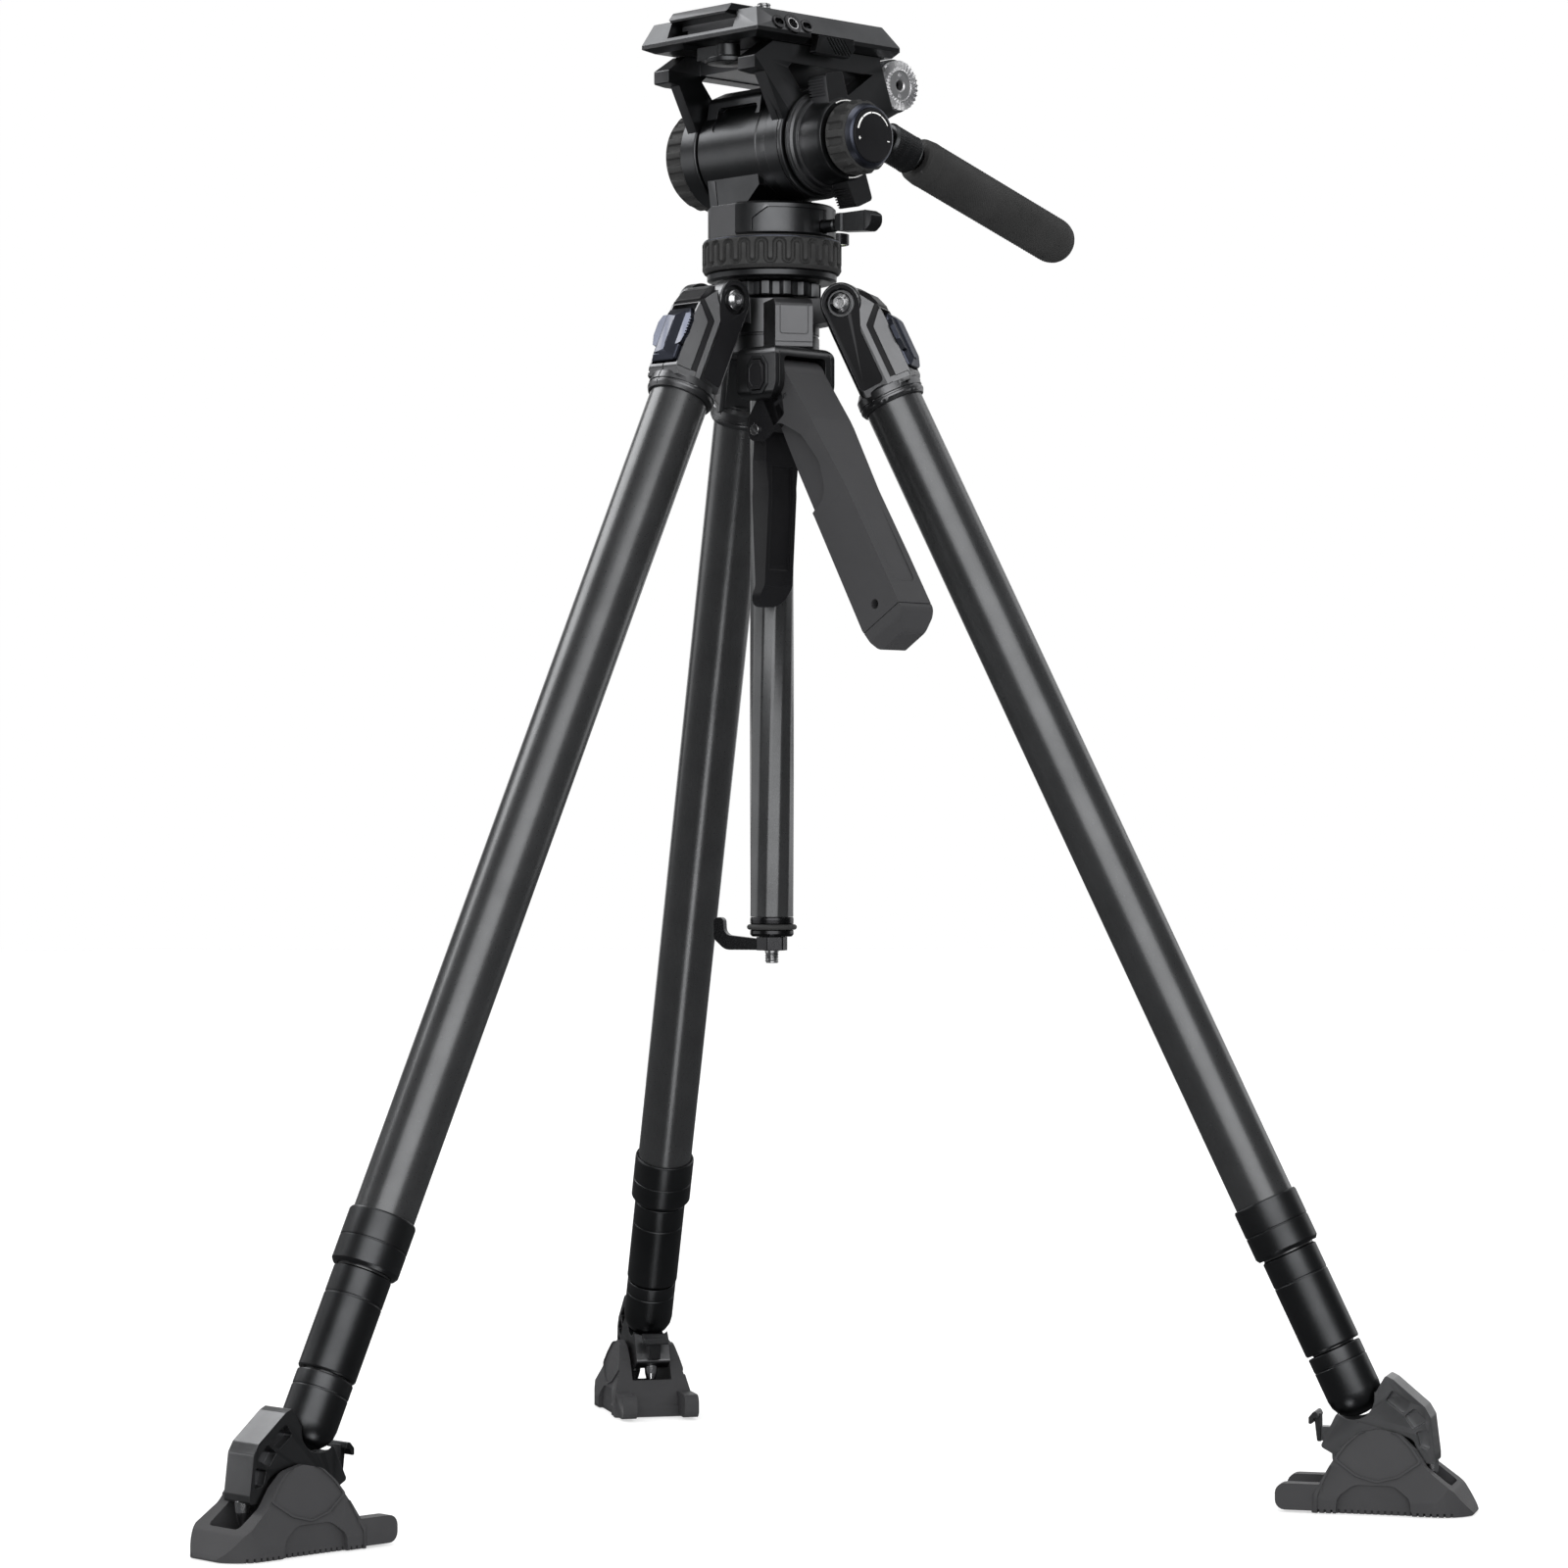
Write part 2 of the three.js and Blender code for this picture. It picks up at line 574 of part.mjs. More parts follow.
function plateReceiver() {
  const w = RECEIVER_HALF_WIDTH;
  const edge = RECEIVER_EDGE;
  const low = edge - 2.5;
  const across = [
    [-46, RECEIVER_BOTTOM], [46, RECEIVER_BOTTOM], [w, low], [w, edge],
    [RECEIVER_HALF_TOP, RECEIVER_TOP], [-RECEIVER_HALF_TOP, RECEIVER_TOP], [-w, edge], [-w, low],
  ];
  const along = [
    [-58, RECEIVER_BOTTOM], [61.4, RECEIVER_BOTTOM], [61.4, edge + 1], [51.5, RECEIVER_TOP],
    [-58, RECEIVER_TOP], [-63, edge], [-63, low],
  ];
  const channel = block(-30, 30, -70, 70, CHANNEL_FLOOR, 930);
  const buttonRoom = block(RELEASE_BUTTON[0] - RELEASE_TRAVEL - 2 * GAP, 60, -17, 20.4, 890, 907.6);
  const slope = (w - RECEIVER_HALF_TOP) / (RECEIVER_TOP - edge);
  const socketX = w - slope * (SOCKET_HEIGHT - edge);
  const socket = rod("x", 4.4, -8, 6, [0, 0], SMALL_ROUND)
    .rotateY(-Math.atan(slope))
    .translate(socketX, SOCKET_Y, SOCKET_HEIGHT);
  return cut(common(prismY(across, -64, 62), prismX(along, -w, w)), channel, buttonRoom, socket);
}

function quickReleasePlate() {
  const across = [
    [-22, CHANNEL_FLOOR + GAP], [22, CHANNEL_FLOOR + GAP], [22, 914], [PLATE_HALF, 914],
    [PLATE_HALF, 917], [PLATE_HALF - 2, 918.5], [PLATE_HALF, 920], [PLATE_HALF, PLATE_TOP],
    [-PLATE_HALF, PLATE_TOP], [-PLATE_HALF, 920], [2 - PLATE_HALF, 918.5], [-PLATE_HALF, 917],
    [-PLATE_HALF, 914], [-22, 914],
  ];
  const along = [
    [-52, CHANNEL_FLOOR], [46, CHANNEL_FLOOR], [46, PLATE_TOP], [-59, PLATE_TOP],
    [-64, 915.5], [-64, 914], [-52, 914],
  ];
  const screwRoom = rod("z", 7, 914.5, 940, [0, SCREW_Y], SMALL_ROUND);
  const stemRoom = rod("z", 3.6, 900, 940, [0, SCREW_Y], SMALL_ROUND);
  const outside = common(prismY(across, -64, 46), prismX(along, -PLATE_HALF, PLATE_HALF));
  return cut(outside, screwRoom, stemRoom);
}

function cameraScrew() {
  return turned("z", [
    [0, 915], [6.5, 915], [6.5, 919], [4.4, 919], [4.4, 934], [0, 934],
  ], SMALL_ROUND, [0, SCREW_Y]);
}

function plateReleaseButton() {
  return prismX([[-15.5, 895.5], [13.5, 894.9], [19, 901], [16, 906.5], [-12, 906.5]], ...RELEASE_BUTTON);
}

function plateLockLever() {
  const top = RECEIVER_BOTTOM - GAP;
  const hub = turned("z", [
    [0, 888.5], [13.5, 889.5], [13.5, 892.5], [7.5, 894], [7.5, top], [0, top],
  ], ROUND, [13, -50]);
  return join(hub, block(-9, 12, -57, -45, 892.5, top));
}

// ---- Head: rosette and pan bar ----

function rosette() {
  return ring("x", ROSETTE_RADIUS, 3.3, BOSS_HALF + GAP, BOSS_HALF + 5.5, [ROSETTE_Y, ROSETTE_HEIGHT]);
}

// The pan bar's own frame has its origin on the rosette axis and Y along the bar.
const BAR = { tubeEnd: 66, collarEnd: 92.5, gripStart: 97, gripEnd: 252, rodEnd: 190, rodRadius: 7.5 };

function panBar() {
  const clamp = rod("x", 16, -8, -PAN_BAR_X - BOSS_HALF - GAP);
  const tube = rod("y", 9.5, 0, BAR.tubeEnd);
  return join(clamp, tube, rod("y", BAR.rodRadius, BAR.tubeEnd - 1, BAR.rodEnd));
}

function twistCollar() {
  const bore = BAR.rodRadius + RUNNING_FIT;
  const start = BAR.tubeEnd + GAP;
  return turned("y", [
    [bore, start], [11.5, start], [13, start + 2],
    [13, BAR.collarEnd - 2], [11.5, BAR.collarEnd], [bore, BAR.collarEnd],
  ]);
}

function barGrip() {
  const radius = 15.8;
  const bore = BAR.rodRadius + RUNNING_FIT;
  const dome = [];
  for (let step = 0; step <= 5; step += 1) {
    const angle = (Math.PI / 2) * (step / 5);
    dome.push([radius * Math.cos(angle), BAR.gripEnd - radius + radius * Math.sin(angle)]);
  }
  dome[5][0] = 0;
  return turned("y", [
    [0, BAR.rodEnd + 5], [bore, BAR.rodEnd + 5], [bore, BAR.gripStart], [12.5, BAR.gripStart],
    [radius, BAR.gripStart + 3], ...dome,
  ]);
}

// ---- Assembly ----

function foot(name) {
  return groupAt(
    [PIVOT_RADIUS + BALL_DISTANCE * Math.sin(rad(LEG_LEAN)), 0, BALL_HEIGHT],
    piece(`${name}_foot_frame`, footFrame(), metalBlack),
    piece(`${name}_foot_shoe`, footShoe(), rubber),
    piece(`${name}_foot_latch`, footLatch(), metalBlack),
  );
}

function leg(side, azimuth) {
  const name = `${side}_leg`;
  const limb = groupAt(
    [PIVOT_RADIUS, 0, PIVOT_HEIGHT],
    piece(`${name}_shoulder`, shoulder(), metalBlack),
    piece(`${name}_angle_tab`, angleTab(), slate),
    piece(`${name}_upper_tube`, upperTube(), carbon),
    piece(`${name}_lower_collar`, lowerCollar(), metalBlack),
    piece(`${name}_middle_stage`, middleStage(), carbon),
    piece(`${name}_lower_stage`, lowerStage(), metalBlack),
  );
  limb.rotation.y = -rad(LEG_LEAN);
  const bolt = groupAt([PIVOT_RADIUS, 0, PIVOT_HEIGHT], piece(`${name}_pivot_bolt`, pivotBolt(), steel));
  const whole = groupAt([0, 0, 0], limb, bolt, foot(name));
  whole.rotation.z = rad(azimuth);
  return whole;
}

function column() {
  const hook = piece("weight_hook", weightHook(), metalBlack);
  hook.rotation.z = rad(-150);
  return groupAt(
    [0, 0, 0],
    piece("spider_hub", spiderHub(), metalBlack),
    piece("column_lock_collar", columnLockCollar(), metalBlack),
    piece("column_tube", columnTube(), carbon),
    piece("column_end_cap", columnEndCap(), metalBlack),
    hook,
  );
}

function carryGrip() {
  const grip = piece("grip_handle", gripWithEars(), plastic);
  grip.position.set(...GRIP_PIVOT);
  grip.rotation.y = -rad(GRIP_LEAN);
  const trigger = piece("trigger_lever", triggerLever(), plastic);
  trigger.position.set(...TRIGGER_PIVOT);
  return groupAt(
    [0, 0, 0],
    piece("handle_bracket", handleBracket(), metalBlack),
    piece("handle_lock_button", handleLockButton(), plastic),
    grip,
    trigger,
  );
}

function head() {
  const bar = groupAt(
    [PAN_BAR_X, ROSETTE_Y, ROSETTE_HEIGHT],
    piece("pan_bar", panBar(), metalBlack),
    piece("pan_bar_twist_collar", twistCollar(), metalBlack),
    piece("pan_bar_grip", barGrip(), rubber),
  );
  bar.rotation.x = -rad(PAN_BAR_DROP);
  return groupAt(
    [0, 0, 0],
    piece("head_base_flange", headBaseFlange(), metalBlack),
    piece("pan_drag_ring", panDragRing(), rubber),
    piece("pan_base", panBase(), metalBlack),
    piece("pan_spindle", panSpindle(), steel),
    piece("pan_lock_lever", panLockLever(), metalBlack),
    piece("bubble_level", bubbleLevel(), glass),
    piece("drag_barrel", dragBarrel(), metalBlack),
    piece("tilt_shaft", tiltShaft(), steel),
    piece("tilt_cradle", tiltCradle(), metalBlack),
    piece("counterbalance_dial", counterbalanceDial(), rubber),
    piece("tilt_lock_lever", tiltLockLever(), metalBlack),
    piece("tilt_drag_knob", tiltDragKnob(), rubber),
    piece("plate_receiver", plateReceiver(), metalBlack),
    piece("quick_release_plate", quickReleasePlate(), metalBlack),
    piece("camera_screw", cameraScrew(), steel),
    piece("plate_release_button", plateReleaseButton(), metalBlack),
    piece("plate_lock_lever", plateLockLever(), metalBlack),
    piece("rosette", rosette(), steel),
    bar,
  );
}

const tripod = new THREE.Group();
for (const [side, azimuth] of Object.entries(LEG_AZIMUTHS)) {
  tripod.add(leg(side, azimuth));
}
tripod.add(column(), carryGrip(), head());

const box = new THREE.Box3().setFromObject(tripod, true);
const middle = box.getCenter(new THREE.Vector3());
tripod.position.set(-middle.x, -middle.y, -box.min.z);
tripod.updateMatrixWorld(true);

export default tripod;
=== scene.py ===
import math

import bmesh
import bpy
from mathutils import Matrix, Vector


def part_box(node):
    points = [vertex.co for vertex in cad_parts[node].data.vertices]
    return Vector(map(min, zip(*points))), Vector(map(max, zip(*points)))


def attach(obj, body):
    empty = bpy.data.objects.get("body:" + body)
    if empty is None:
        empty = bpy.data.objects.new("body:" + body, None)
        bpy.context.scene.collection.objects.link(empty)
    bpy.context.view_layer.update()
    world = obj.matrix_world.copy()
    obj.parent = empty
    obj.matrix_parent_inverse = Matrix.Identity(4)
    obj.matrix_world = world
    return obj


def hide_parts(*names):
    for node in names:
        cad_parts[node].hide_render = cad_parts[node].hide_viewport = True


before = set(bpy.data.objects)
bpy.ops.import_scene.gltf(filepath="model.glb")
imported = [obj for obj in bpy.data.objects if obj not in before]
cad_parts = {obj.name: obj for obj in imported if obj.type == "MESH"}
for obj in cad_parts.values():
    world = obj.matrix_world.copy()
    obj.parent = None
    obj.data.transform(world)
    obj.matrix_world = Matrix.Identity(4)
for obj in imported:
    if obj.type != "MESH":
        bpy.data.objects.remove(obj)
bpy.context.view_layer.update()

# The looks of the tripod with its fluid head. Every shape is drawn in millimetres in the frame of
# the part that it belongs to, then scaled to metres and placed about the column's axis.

# ---- Driving dimensions, in millimetres ----

MM = 0.001
GAP = 0.3
FIT = 0.4
SIDES = 72
FINE = 0.02  # points closer than this are one point

LEG_AZIMUTHS = {"front": -90, "left": 30, "right": 150}
LEG_LEAN = 25.4
PIVOT_RADIUS = 50
PIVOT_HEIGHT = 741.5
SHOULDER_HALF = 20
BOLT_RADIUS = 4
TUBE_RADIUS = 18.5
TUBE_WALL = 1.8
SHOULDER_END = 62
CUP_END = 70
TUBE_START = 57
TUBE_END = 640
SLEEVE_END = 713
MIDDLE_RADIUS = 16.2
MIDDLE_BORE = 14.0
LOWER_RADIUS = 13.6
LOWER_BORE = 11.9
BALL_DISTANCE = 745.5
BALL_RADIUS = 17.4
BALL_HEIGHT = PIVOT_HEIGHT - BALL_DISTANCE * math.cos(math.radians(LEG_LEAN))
FOOT_REACH = PIVOT_RADIUS + BALL_DISTANCE * math.sin(math.radians(LEG_LEAN))
SHOE_HALF = 29

COLUMN_RADIUS = 14
COLUMN_BOTTOM = 357.5
COLUMN_TOP = 757
HUB_RADIUS = 30
HUB_BOTTOM = 711.3
HUB_TOP = 746
GRIP_AZIMUTH = -30
DRAG_RING_RADIUS = 44
PAN_BASE_RADIUS = 40.5
PAN_BASE_BOTTOM = 784.3
PAN_BASE_TOP = 805
PAN_LOCK_AXIS = (8, 790.5)
LEVEL_DISTANCE = 47
LEVEL_AZIMUTH = 75

TILT_HEIGHT = 841.6
SHAFT_RADIUS = 8
BARREL_RADIUS = 33.5
CHEEK_RADIUS = 35
RECEIVER_HALF_TOP = 47
RECEIVER_HALF_WIDTH = 53
RECEIVER_EDGE = 907
RECEIVER_BOTTOM = 901.5
RECEIVER_TOP = 920
CHANNEL_FLOOR = 909
PLATE_TOP = 924.5
PLATE_HALF = 27
SCREW_Y = -7
ROSETTE_Y = 80
ROSETTE_HEIGHT = 888
ROSETTE_RADIUS = 15.9
ROSETTE_CENTRE = (ROSETTE_Y, ROSETTE_HEIGHT)
PAN_BAR_X = -42
PAN_BAR_DROP = 17.6
BAR_RADIUS = 7.5
BAR_GRIP_RADIUS = 15.8
BAR_GRIP_START = 97
BAR_GRIP_END = 252
GRIP_PIVOT = (48, -29, 690)
GRIP_LEAN = 31.5
GRIP_HALF = 17.3
BRACKET_HALF = 25.5
TRIGGER_PIVOT = (34, -29, 660)

TILT_AXIS = (0, TILT_HEIGHT)
TAU = math.tau


# ---- Drawing solids ----

def rounded(corners, steps=5):
    """A closed outline through its corners; a corner's third number is the radius that rounds it."""
    points = []
    for i, corner in enumerate(corners):
        here = Vector(corner[:2])
        radius = corner[2] if len(corner) > 2 else 0
        if radius == 0:
            points.append(here)
            continue
        before = (Vector(corners[i - 1][:2]) - here).normalized()
        after = (Vector(corners[(i + 1) % len(corners)][:2]) - here).normalized()
        half = before.angle(after) / 2
        centre = here + (before + after).normalized() * (radius / math.sin(half))
        start = here + before * (radius / math.tan(half)) - centre
        end = here + after * (radius / math.tan(half)) - centre
        turn = math.atan2(start.x * end.y - start.y * end.x, start.dot(end))
        for k in range(steps + 1):
            points.append(Matrix.Rotation(turn * k / steps, 2) @ start + centre)
    return points


def rectangle(a0, a1, b0, b1, low=0, high=None):
    """A rectangle's outline. Its corners are rounded by low at b0 and by high at b1."""
    high = low if high is None else high
    return [(a0, b0, low), (a1, b0, low), (a1, b1, high), (a0, b1, high)]


def on_circle(radius, angle):
    return radius * math.cos(angle), radius * math.sin(angle)


def ring_points(radius, count, offset=0):
    """Evenly spaced points on a circle; the offset is in steps between points."""
    return [on_circle(radius, TAU * (k + offset) / count) for k in range(count)]


def quarter(radius, start, steps=12):
    """A quarter of a circle that begins at that angle in degrees."""
    return [on_circle(radius, math.radians(start) + math.pi / 2 * k / steps) for k in range(steps + 1)]


def symmetric(half):
    """A whole outline from its right half, mirrored in the second axis."""
    flipped = [(-a, *rest) for a, *rest in half]
    return flipped[:1] + half + flipped[:0:-1]


def solid(points, faces):
    """A temporary object with that closed mesh, its faces turned outward."""
    mesh = bpy.data.meshes.new("solid")
    mesh.from_pydata([tuple(p) for p in points], [], faces)
    shape = bmesh.new()
    shape.from_mesh(mesh)
    bmesh.ops.remove_doubles(shape, verts=shape.verts, dist=1e-4)
    bmesh.ops.delete(shape, geom=[v for v in shape.verts if not v.link_faces], context="VERTS")
    bmesh.ops.recalc_face_normals(shape, faces=shape.faces)
    shape.to_mesh(mesh)
    shape.free()
    obj = bpy.data.objects.new("solid", mesh)
    bpy.context.scene.collection.objects.link(obj)
    return obj


def prism(axis, corners, start, end, steps=5):
    """An outline in the plane across that axis, carried from start to end."""
    flat = rounded(corners, steps)
    count = len(flat)
    place = {
        "x": lambda a, b, c: (c, a, b),
        "y": lambda a, b, c: (a, c, b),
        "z": lambda a, b, c: (a, b, c),
    }[axis]
    points = [place(a, b, c) for c in (start, end) for a, b in flat]
    faces = [list(range(count)), list(range(count, 2 * count))]
    faces += [[i, (i + 1) % count, count + (i + 1) % count, count + i] for i in range(count)]
    return solid(points, faces)


def block(x0, x1, y0, y1, z0, z1):
    return prism("z", rectangle(x0, x1, y0, y1), z0, z1)


def both_sides(outline, near, far, steps=5):
    """An outline carried along Y from near to far, on both sides of the middle."""
    return [prism("y", outline, a, b, steps) for a, b in ((near, far), (-far, -near))]


def dense(profile, step):
    """The same closed profile, with points no further apart than step."""
    line = rounded(profile)
    points = []
    for i, here in enumerate(line):
        after = line[(i + 1) % len(line)]
        pieces = max(1, math.ceil((after - here).length / step))
        points += [here.lerp(after, k / pieces) for k in range(pieces)]
    return [tuple(p) for p in points]


def turned(axis, profile, sides=SIDES, centre=(0, 0), change=None):
    """A shape turned about an axis, from a closed profile of radius and place along the axis.
    change takes angle, radius and place and gives the new radius and place."""
    u, v = centre
    place = {
        "x": lambda c, s, h: (h, u + c, v + s),
        "y": lambda c, s, h: (u + s, h, v + c),
        "z": lambda c, s, h: (u + c, v + s, h),
    }[axis]
    points, rings = [], []
    for radius, height in rounded(profile):
        count = 1 if radius < 1e-6 else sides
        rings.append([len(points) + k for k in range(count)])
        for k in range(count):
            angle = TAU * k / sides
            r, h = change(angle, radius, height) if change else (radius, height)
            points.append(place(r * math.cos(angle), r * math.sin(angle), h))
    faces = []
    for i, ring in enumerate(rings):
        after = rings[(i + 1) % len(rings)]
        if len(ring) == 1 and len(after) == 1:
            continue
        for k in range(sides):
            corners = [ring[k % len(ring)], ring[(k + 1) % len(ring)]]
            corners += [after[(k + 1) % len(after)], after[k % len(after)]]
            faces.append(list(dict.fromkeys(corners)))
    return solid(points, faces)


def tube(axis, outer, inner, start, end, edge=0.5, centre=(0, 0), sides=SIDES):
    profile = [(inner, start), (outer, start, edge), (outer, end, edge), (inner, end)]
    return turned(axis, profile, sides, centre)


def rod(axis, radius, start, end, centre=(0, 0), sides=SIDES, edge=0):
    return tube(axis, radius, 0, start, end, edge, centre, sides)


def moved(shape, matrix):
    shape.data.transform(matrix)
    if matrix.determinant() < 0:
        shape.data.flip_normals()
    return shape


def shifted(shape, x=0, y=0, z=0):
    return moved(shape, Matrix.Translation((x, y, z)))


def spun(shape, degrees, axis="Z", centre=(0, 0, 0)):
    there = Matrix.Translation(centre)
    return moved(shape, there @ Matrix.Rotation(math.radians(degrees), 4, axis) @ there.inverted())


def combine(operation, shape, tools):
    for tool in tools:
        step = shape.modifiers.new("combine", "BOOLEAN")
        step.operation = operation
        step.object = tool
        step.solver = "MANIFOLD"
    bpy.context.view_layer.update()
    evaluated = shape.evaluated_get(bpy.context.evaluated_depsgraph_get())
    mesh = bpy.data.meshes.new_from_object(evaluated)
    shape.modifiers.clear()
    for used in [shape, *tools]:
        old = used.data
        bpy.data.objects.remove(used)
        bpy.data.meshes.remove(old)
    result = bpy.data.objects.new("solid", mesh)
    bpy.context.scene.collection.objects.link(result)
    if not mesh.polygons:
        raise RuntimeError(f"{operation} left nothing")
    return result


def join(shape, *tools):
    return combine("UNION", shape, tools)


def cut(shape, *tools):
    return combine("DIFFERENCE", shape, tools)


def common(shape, *tools):
    return combine("INTERSECT", shape, tools)


# ---- Finishing meshes and placing pieces ----

CREASE = math.radians(32)  # edges that turn by more than this are shaded sharp


def is_flat_panel(face):
    """A face is a flat panel when it is far larger than every face that it curves into."""
    beside = []
    for edge in face.edges:
        if edge.is_manifold and math.radians(1) < edge.calc_face_angle(0) < CREASE:
            beside += [other.calc_area() for other in edge.link_faces if other != face]
    return face.calc_area() > 3 * max(beside, default=0)


def finished_mesh(name, shape, bevel=0.0, segments=3, sharp=17):
    """The shape's final mesh in metres, with its sharp edges rounded off by the bevel."""
    mesh = shape.data
    work = bmesh.new()
    work.from_mesh(mesh)
    bmesh.ops.remove_doubles(work, verts=work.verts, dist=FINE)
    nearly_flat = math.radians(0.5)
    bmesh.ops.dissolve_limit(work, angle_limit=nearly_flat, verts=work.verts, edges=work.edges)
    if bevel:
        limit = math.radians(sharp)
        edges = [e for e in work.edges if e.is_manifold and e.calc_face_angle(0) > limit]
        bmesh.ops.bevel(
            work, geom=edges, offset=bevel, offset_type="OFFSET", segments=segments, profile=0.5,
            affect="EDGES", clamp_overlap=True, loop_slide=True,
        )
    bmesh.ops.scale(work, vec=(MM, MM, MM), verts=work.verts)
    for face in work.faces:
        face.smooth = not is_flat_panel(face)
        face.material_index = 0
    for edge in work.edges:
        edge.smooth = not (edge.is_manifold and edge.calc_face_angle(0) > CREASE)
    work.to_mesh(mesh)
    work.free()
    bpy.data.objects.remove(shape)
    mesh.name = name
    return mesh


ORIGIN = Matrix.Translation(sum(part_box("column_tube"), Vector()) / 2 * Vector((1, 1, 0)))


def at(x, y, z):
    return Matrix.Translation((x * MM, y * MM, z * MM))


def turn(degrees, axis):
    return Matrix.Rotation(math.radians(degrees), 4, axis)


def show(name, mesh, place, body, paint, node):
    """A piece of the model on its body, in place of a CAD node. Its place is worked into its mesh."""
    mesh = mesh.copy()
    mesh.name = name
    mesh.transform(ORIGIN @ place)
    obj = bpy.data.objects.new(name, mesh)
    bpy.context.scene.collection.objects.link(obj)
    mesh.materials.clear()
    mesh.materials.append(paint)
    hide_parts(node)
    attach(obj, body)
    normals = obj.modifiers.new("even_shading", "WEIGHTED_NORMAL")
    normals.keep_sharp = True


def put(name, shape, bevel, body, paint, node, place=Matrix()):
    show(name, finished_mesh(name, shape, bevel), place, body, paint, node)


# ---- Materials ----

def fill(tree, node, inputs):
    """Gives each named input a value, or the output of another node."""
    for name, value in inputs.items():
        socket = node.inputs[name.replace("_", " ")]
        if isinstance(value, bpy.types.NodeSocket):
            tree.links.new(value, socket)
        else:
            socket.default_value = value
    return node


def add_node(tree, kind, settings=None, **inputs):
    node = tree.nodes.new("ShaderNode" + kind)
    for name, value in (settings or {}).items():
        setattr(node, name, value)
    return fill(tree, node, inputs)


def new_paint(name, **inputs):
    paint = bpy.data.materials.new(name)
    paint.use_nodes = True
    fill(paint.node_tree, paint.node_tree.nodes["Principled BSDF"], inputs)
    return paint


def painted(
    name, colour, metallic, roughness, grain=0.25, bump=0.12, spread=0.18, coat=0.0, wear=0.0, shine=0.5,
):
    """A finish with a fine grain in its height and gloss, a slow drift in its colour and worn edges.
    grain is the size of the grain in millimetres."""
    paint = new_paint(
        name, Metallic=metallic, Specular_IOR_Level=shine, Coat_Weight=coat, Coat_Roughness=0.12,
    )
    tree = paint.node_tree
    place = add_node(tree, "TexCoord").outputs["Object"]

    def noise(size, detail):
        made = add_node(tree, "TexNoise", Vector=place, Scale=1 / (size * MM), Detail=detail)
        return made.outputs["Fac"]

    def ramp(value, low, high, start=0.25, end=0.75):
        made = add_node(
            tree, "MapRange", Value=value, From_Min=start, From_Max=end, To_Min=low, To_Max=high,
        )
        return made.outputs["Result"]

    def mixed(factor, one, other):
        made = add_node(tree, "Mix", {"data_type": "RGBA"}, Factor=factor, A=one, B=other)
        return made.outputs["Result"]

    fine = noise(grain, 2.0)
    darker, lighter = ([c * tint for c in colour] + [1] for tint in (1 - spread, 1 + spread))
    finish = mixed(ramp(noise(28, 3.0), 0.0, 1.0), darker, lighter)
    if wear:
        edges = add_node(tree, "NewGeometry").outputs["Pointiness"]
        finish = mixed(ramp(edges, 0.0, wear, 0.53, 0.62), finish, [0.30, 0.30, 0.31, 1])
    gloss = ramp(noise(grain * 3, 3.0), roughness * 0.88, roughness * 1.12)
    soft_edge = add_node(tree, "Bevel", {"samples": 4}, Radius=0.35 * MM).outputs["Normal"]
    relief = add_node(tree, "Bump", Strength=bump, Distance=grain * MM, Height=fine, Normal=soft_edge)
    shader = tree.nodes["Principled BSDF"]
    fill(tree, shader, {"Base Color": finish, "Roughness": gloss, "Normal": relief.outputs["Normal"]})
    return paint


def woven(name, colour, roughness, pitch=1.6):
    """Carbon cloth under a satin coat: two directions of fibre that catch the light differently."""
    paint = painted(name, colour, 0.9, roughness, grain=0.35, bump=0.05, spread=0.12, coat=0.25)
    tree = paint.node_tree
    shader = tree.nodes["Principled BSDF"]
    place = add_node(tree, "TexCoord").outputs["Object"]
    cross = add_node(tree, "Math", {"operation": "MULTIPLY"})
    for slot, direction in enumerate(("DIAGONAL", "Z")):
        bands = {"wave_type": "BANDS", "bands_direction": direction}
        wave = add_node(tree, "TexWave", bands, Vector=place, Scale=0.31 / (pitch * MM), Distortion=0.4)
        tree.links.new(wave.outputs["Fac"], cross.inputs[slot])
    weave, grain = cross.outputs["Value"], shader.inputs["Normal"].links[0].from_socket
    relief = add_node(tree, "Bump", Strength=0.03, Distance=0.06 * MM, Height=weave, Normal=grain)
    fill(tree, shader, {"Normal": relief.outputs["Normal"]})
    return paint


ANODISED = painted("black_anodised", (0.080, 0.082, 0.085), 1.0, 0.36, grain=0.22, bump=0.10, wear=0.35)
MACHINED = painted("machined_black", (0.105, 0.107, 0.111), 1.0, 0.33, grain=0.18, bump=0.08, wear=0.5)
SATIN = painted("satin_black", (0.060, 0.060, 0.063), 1.0, 0.26, grain=0.3, bump=0.06, wear=0.2)
CAST_GREY = painted("cast_grey", (0.150, 0.152, 0.156), 1.0, 0.31, grain=0.3, bump=0.16, wear=0.25)
CARBON = woven("carbon_tube", (0.125, 0.127, 0.130), 0.30)
RUBBER = painted("ribbed_rubber", (0.024, 0.024, 0.024), 0.0, 0.60, grain=0.4, bump=0.25, wear=0.1, shine=0.4)
SOLE_RUBBER = painted(
    "sole_rubber", (0.014, 0.014, 0.015), 0.0, 0.40, grain=0.35, bump=0.3, wear=0.1, shine=0.12,
)
PLASTIC = painted(
    "moulded_plastic", (0.010, 0.010, 0.011), 0.0, 0.34, grain=0.35, bump=0.14, wear=0.1, shine=0.12,
)
GLOSS_PLASTIC = painted("gloss_plastic", (0.010, 0.010, 0.011), 0.1, 0.24, grain=0.5, bump=0.04, shine=0.22)
SATIN_STEEL = painted("satin_steel", (0.85, 0.85, 0.86), 1.0, 0.42, grain=0.3, bump=0.1)
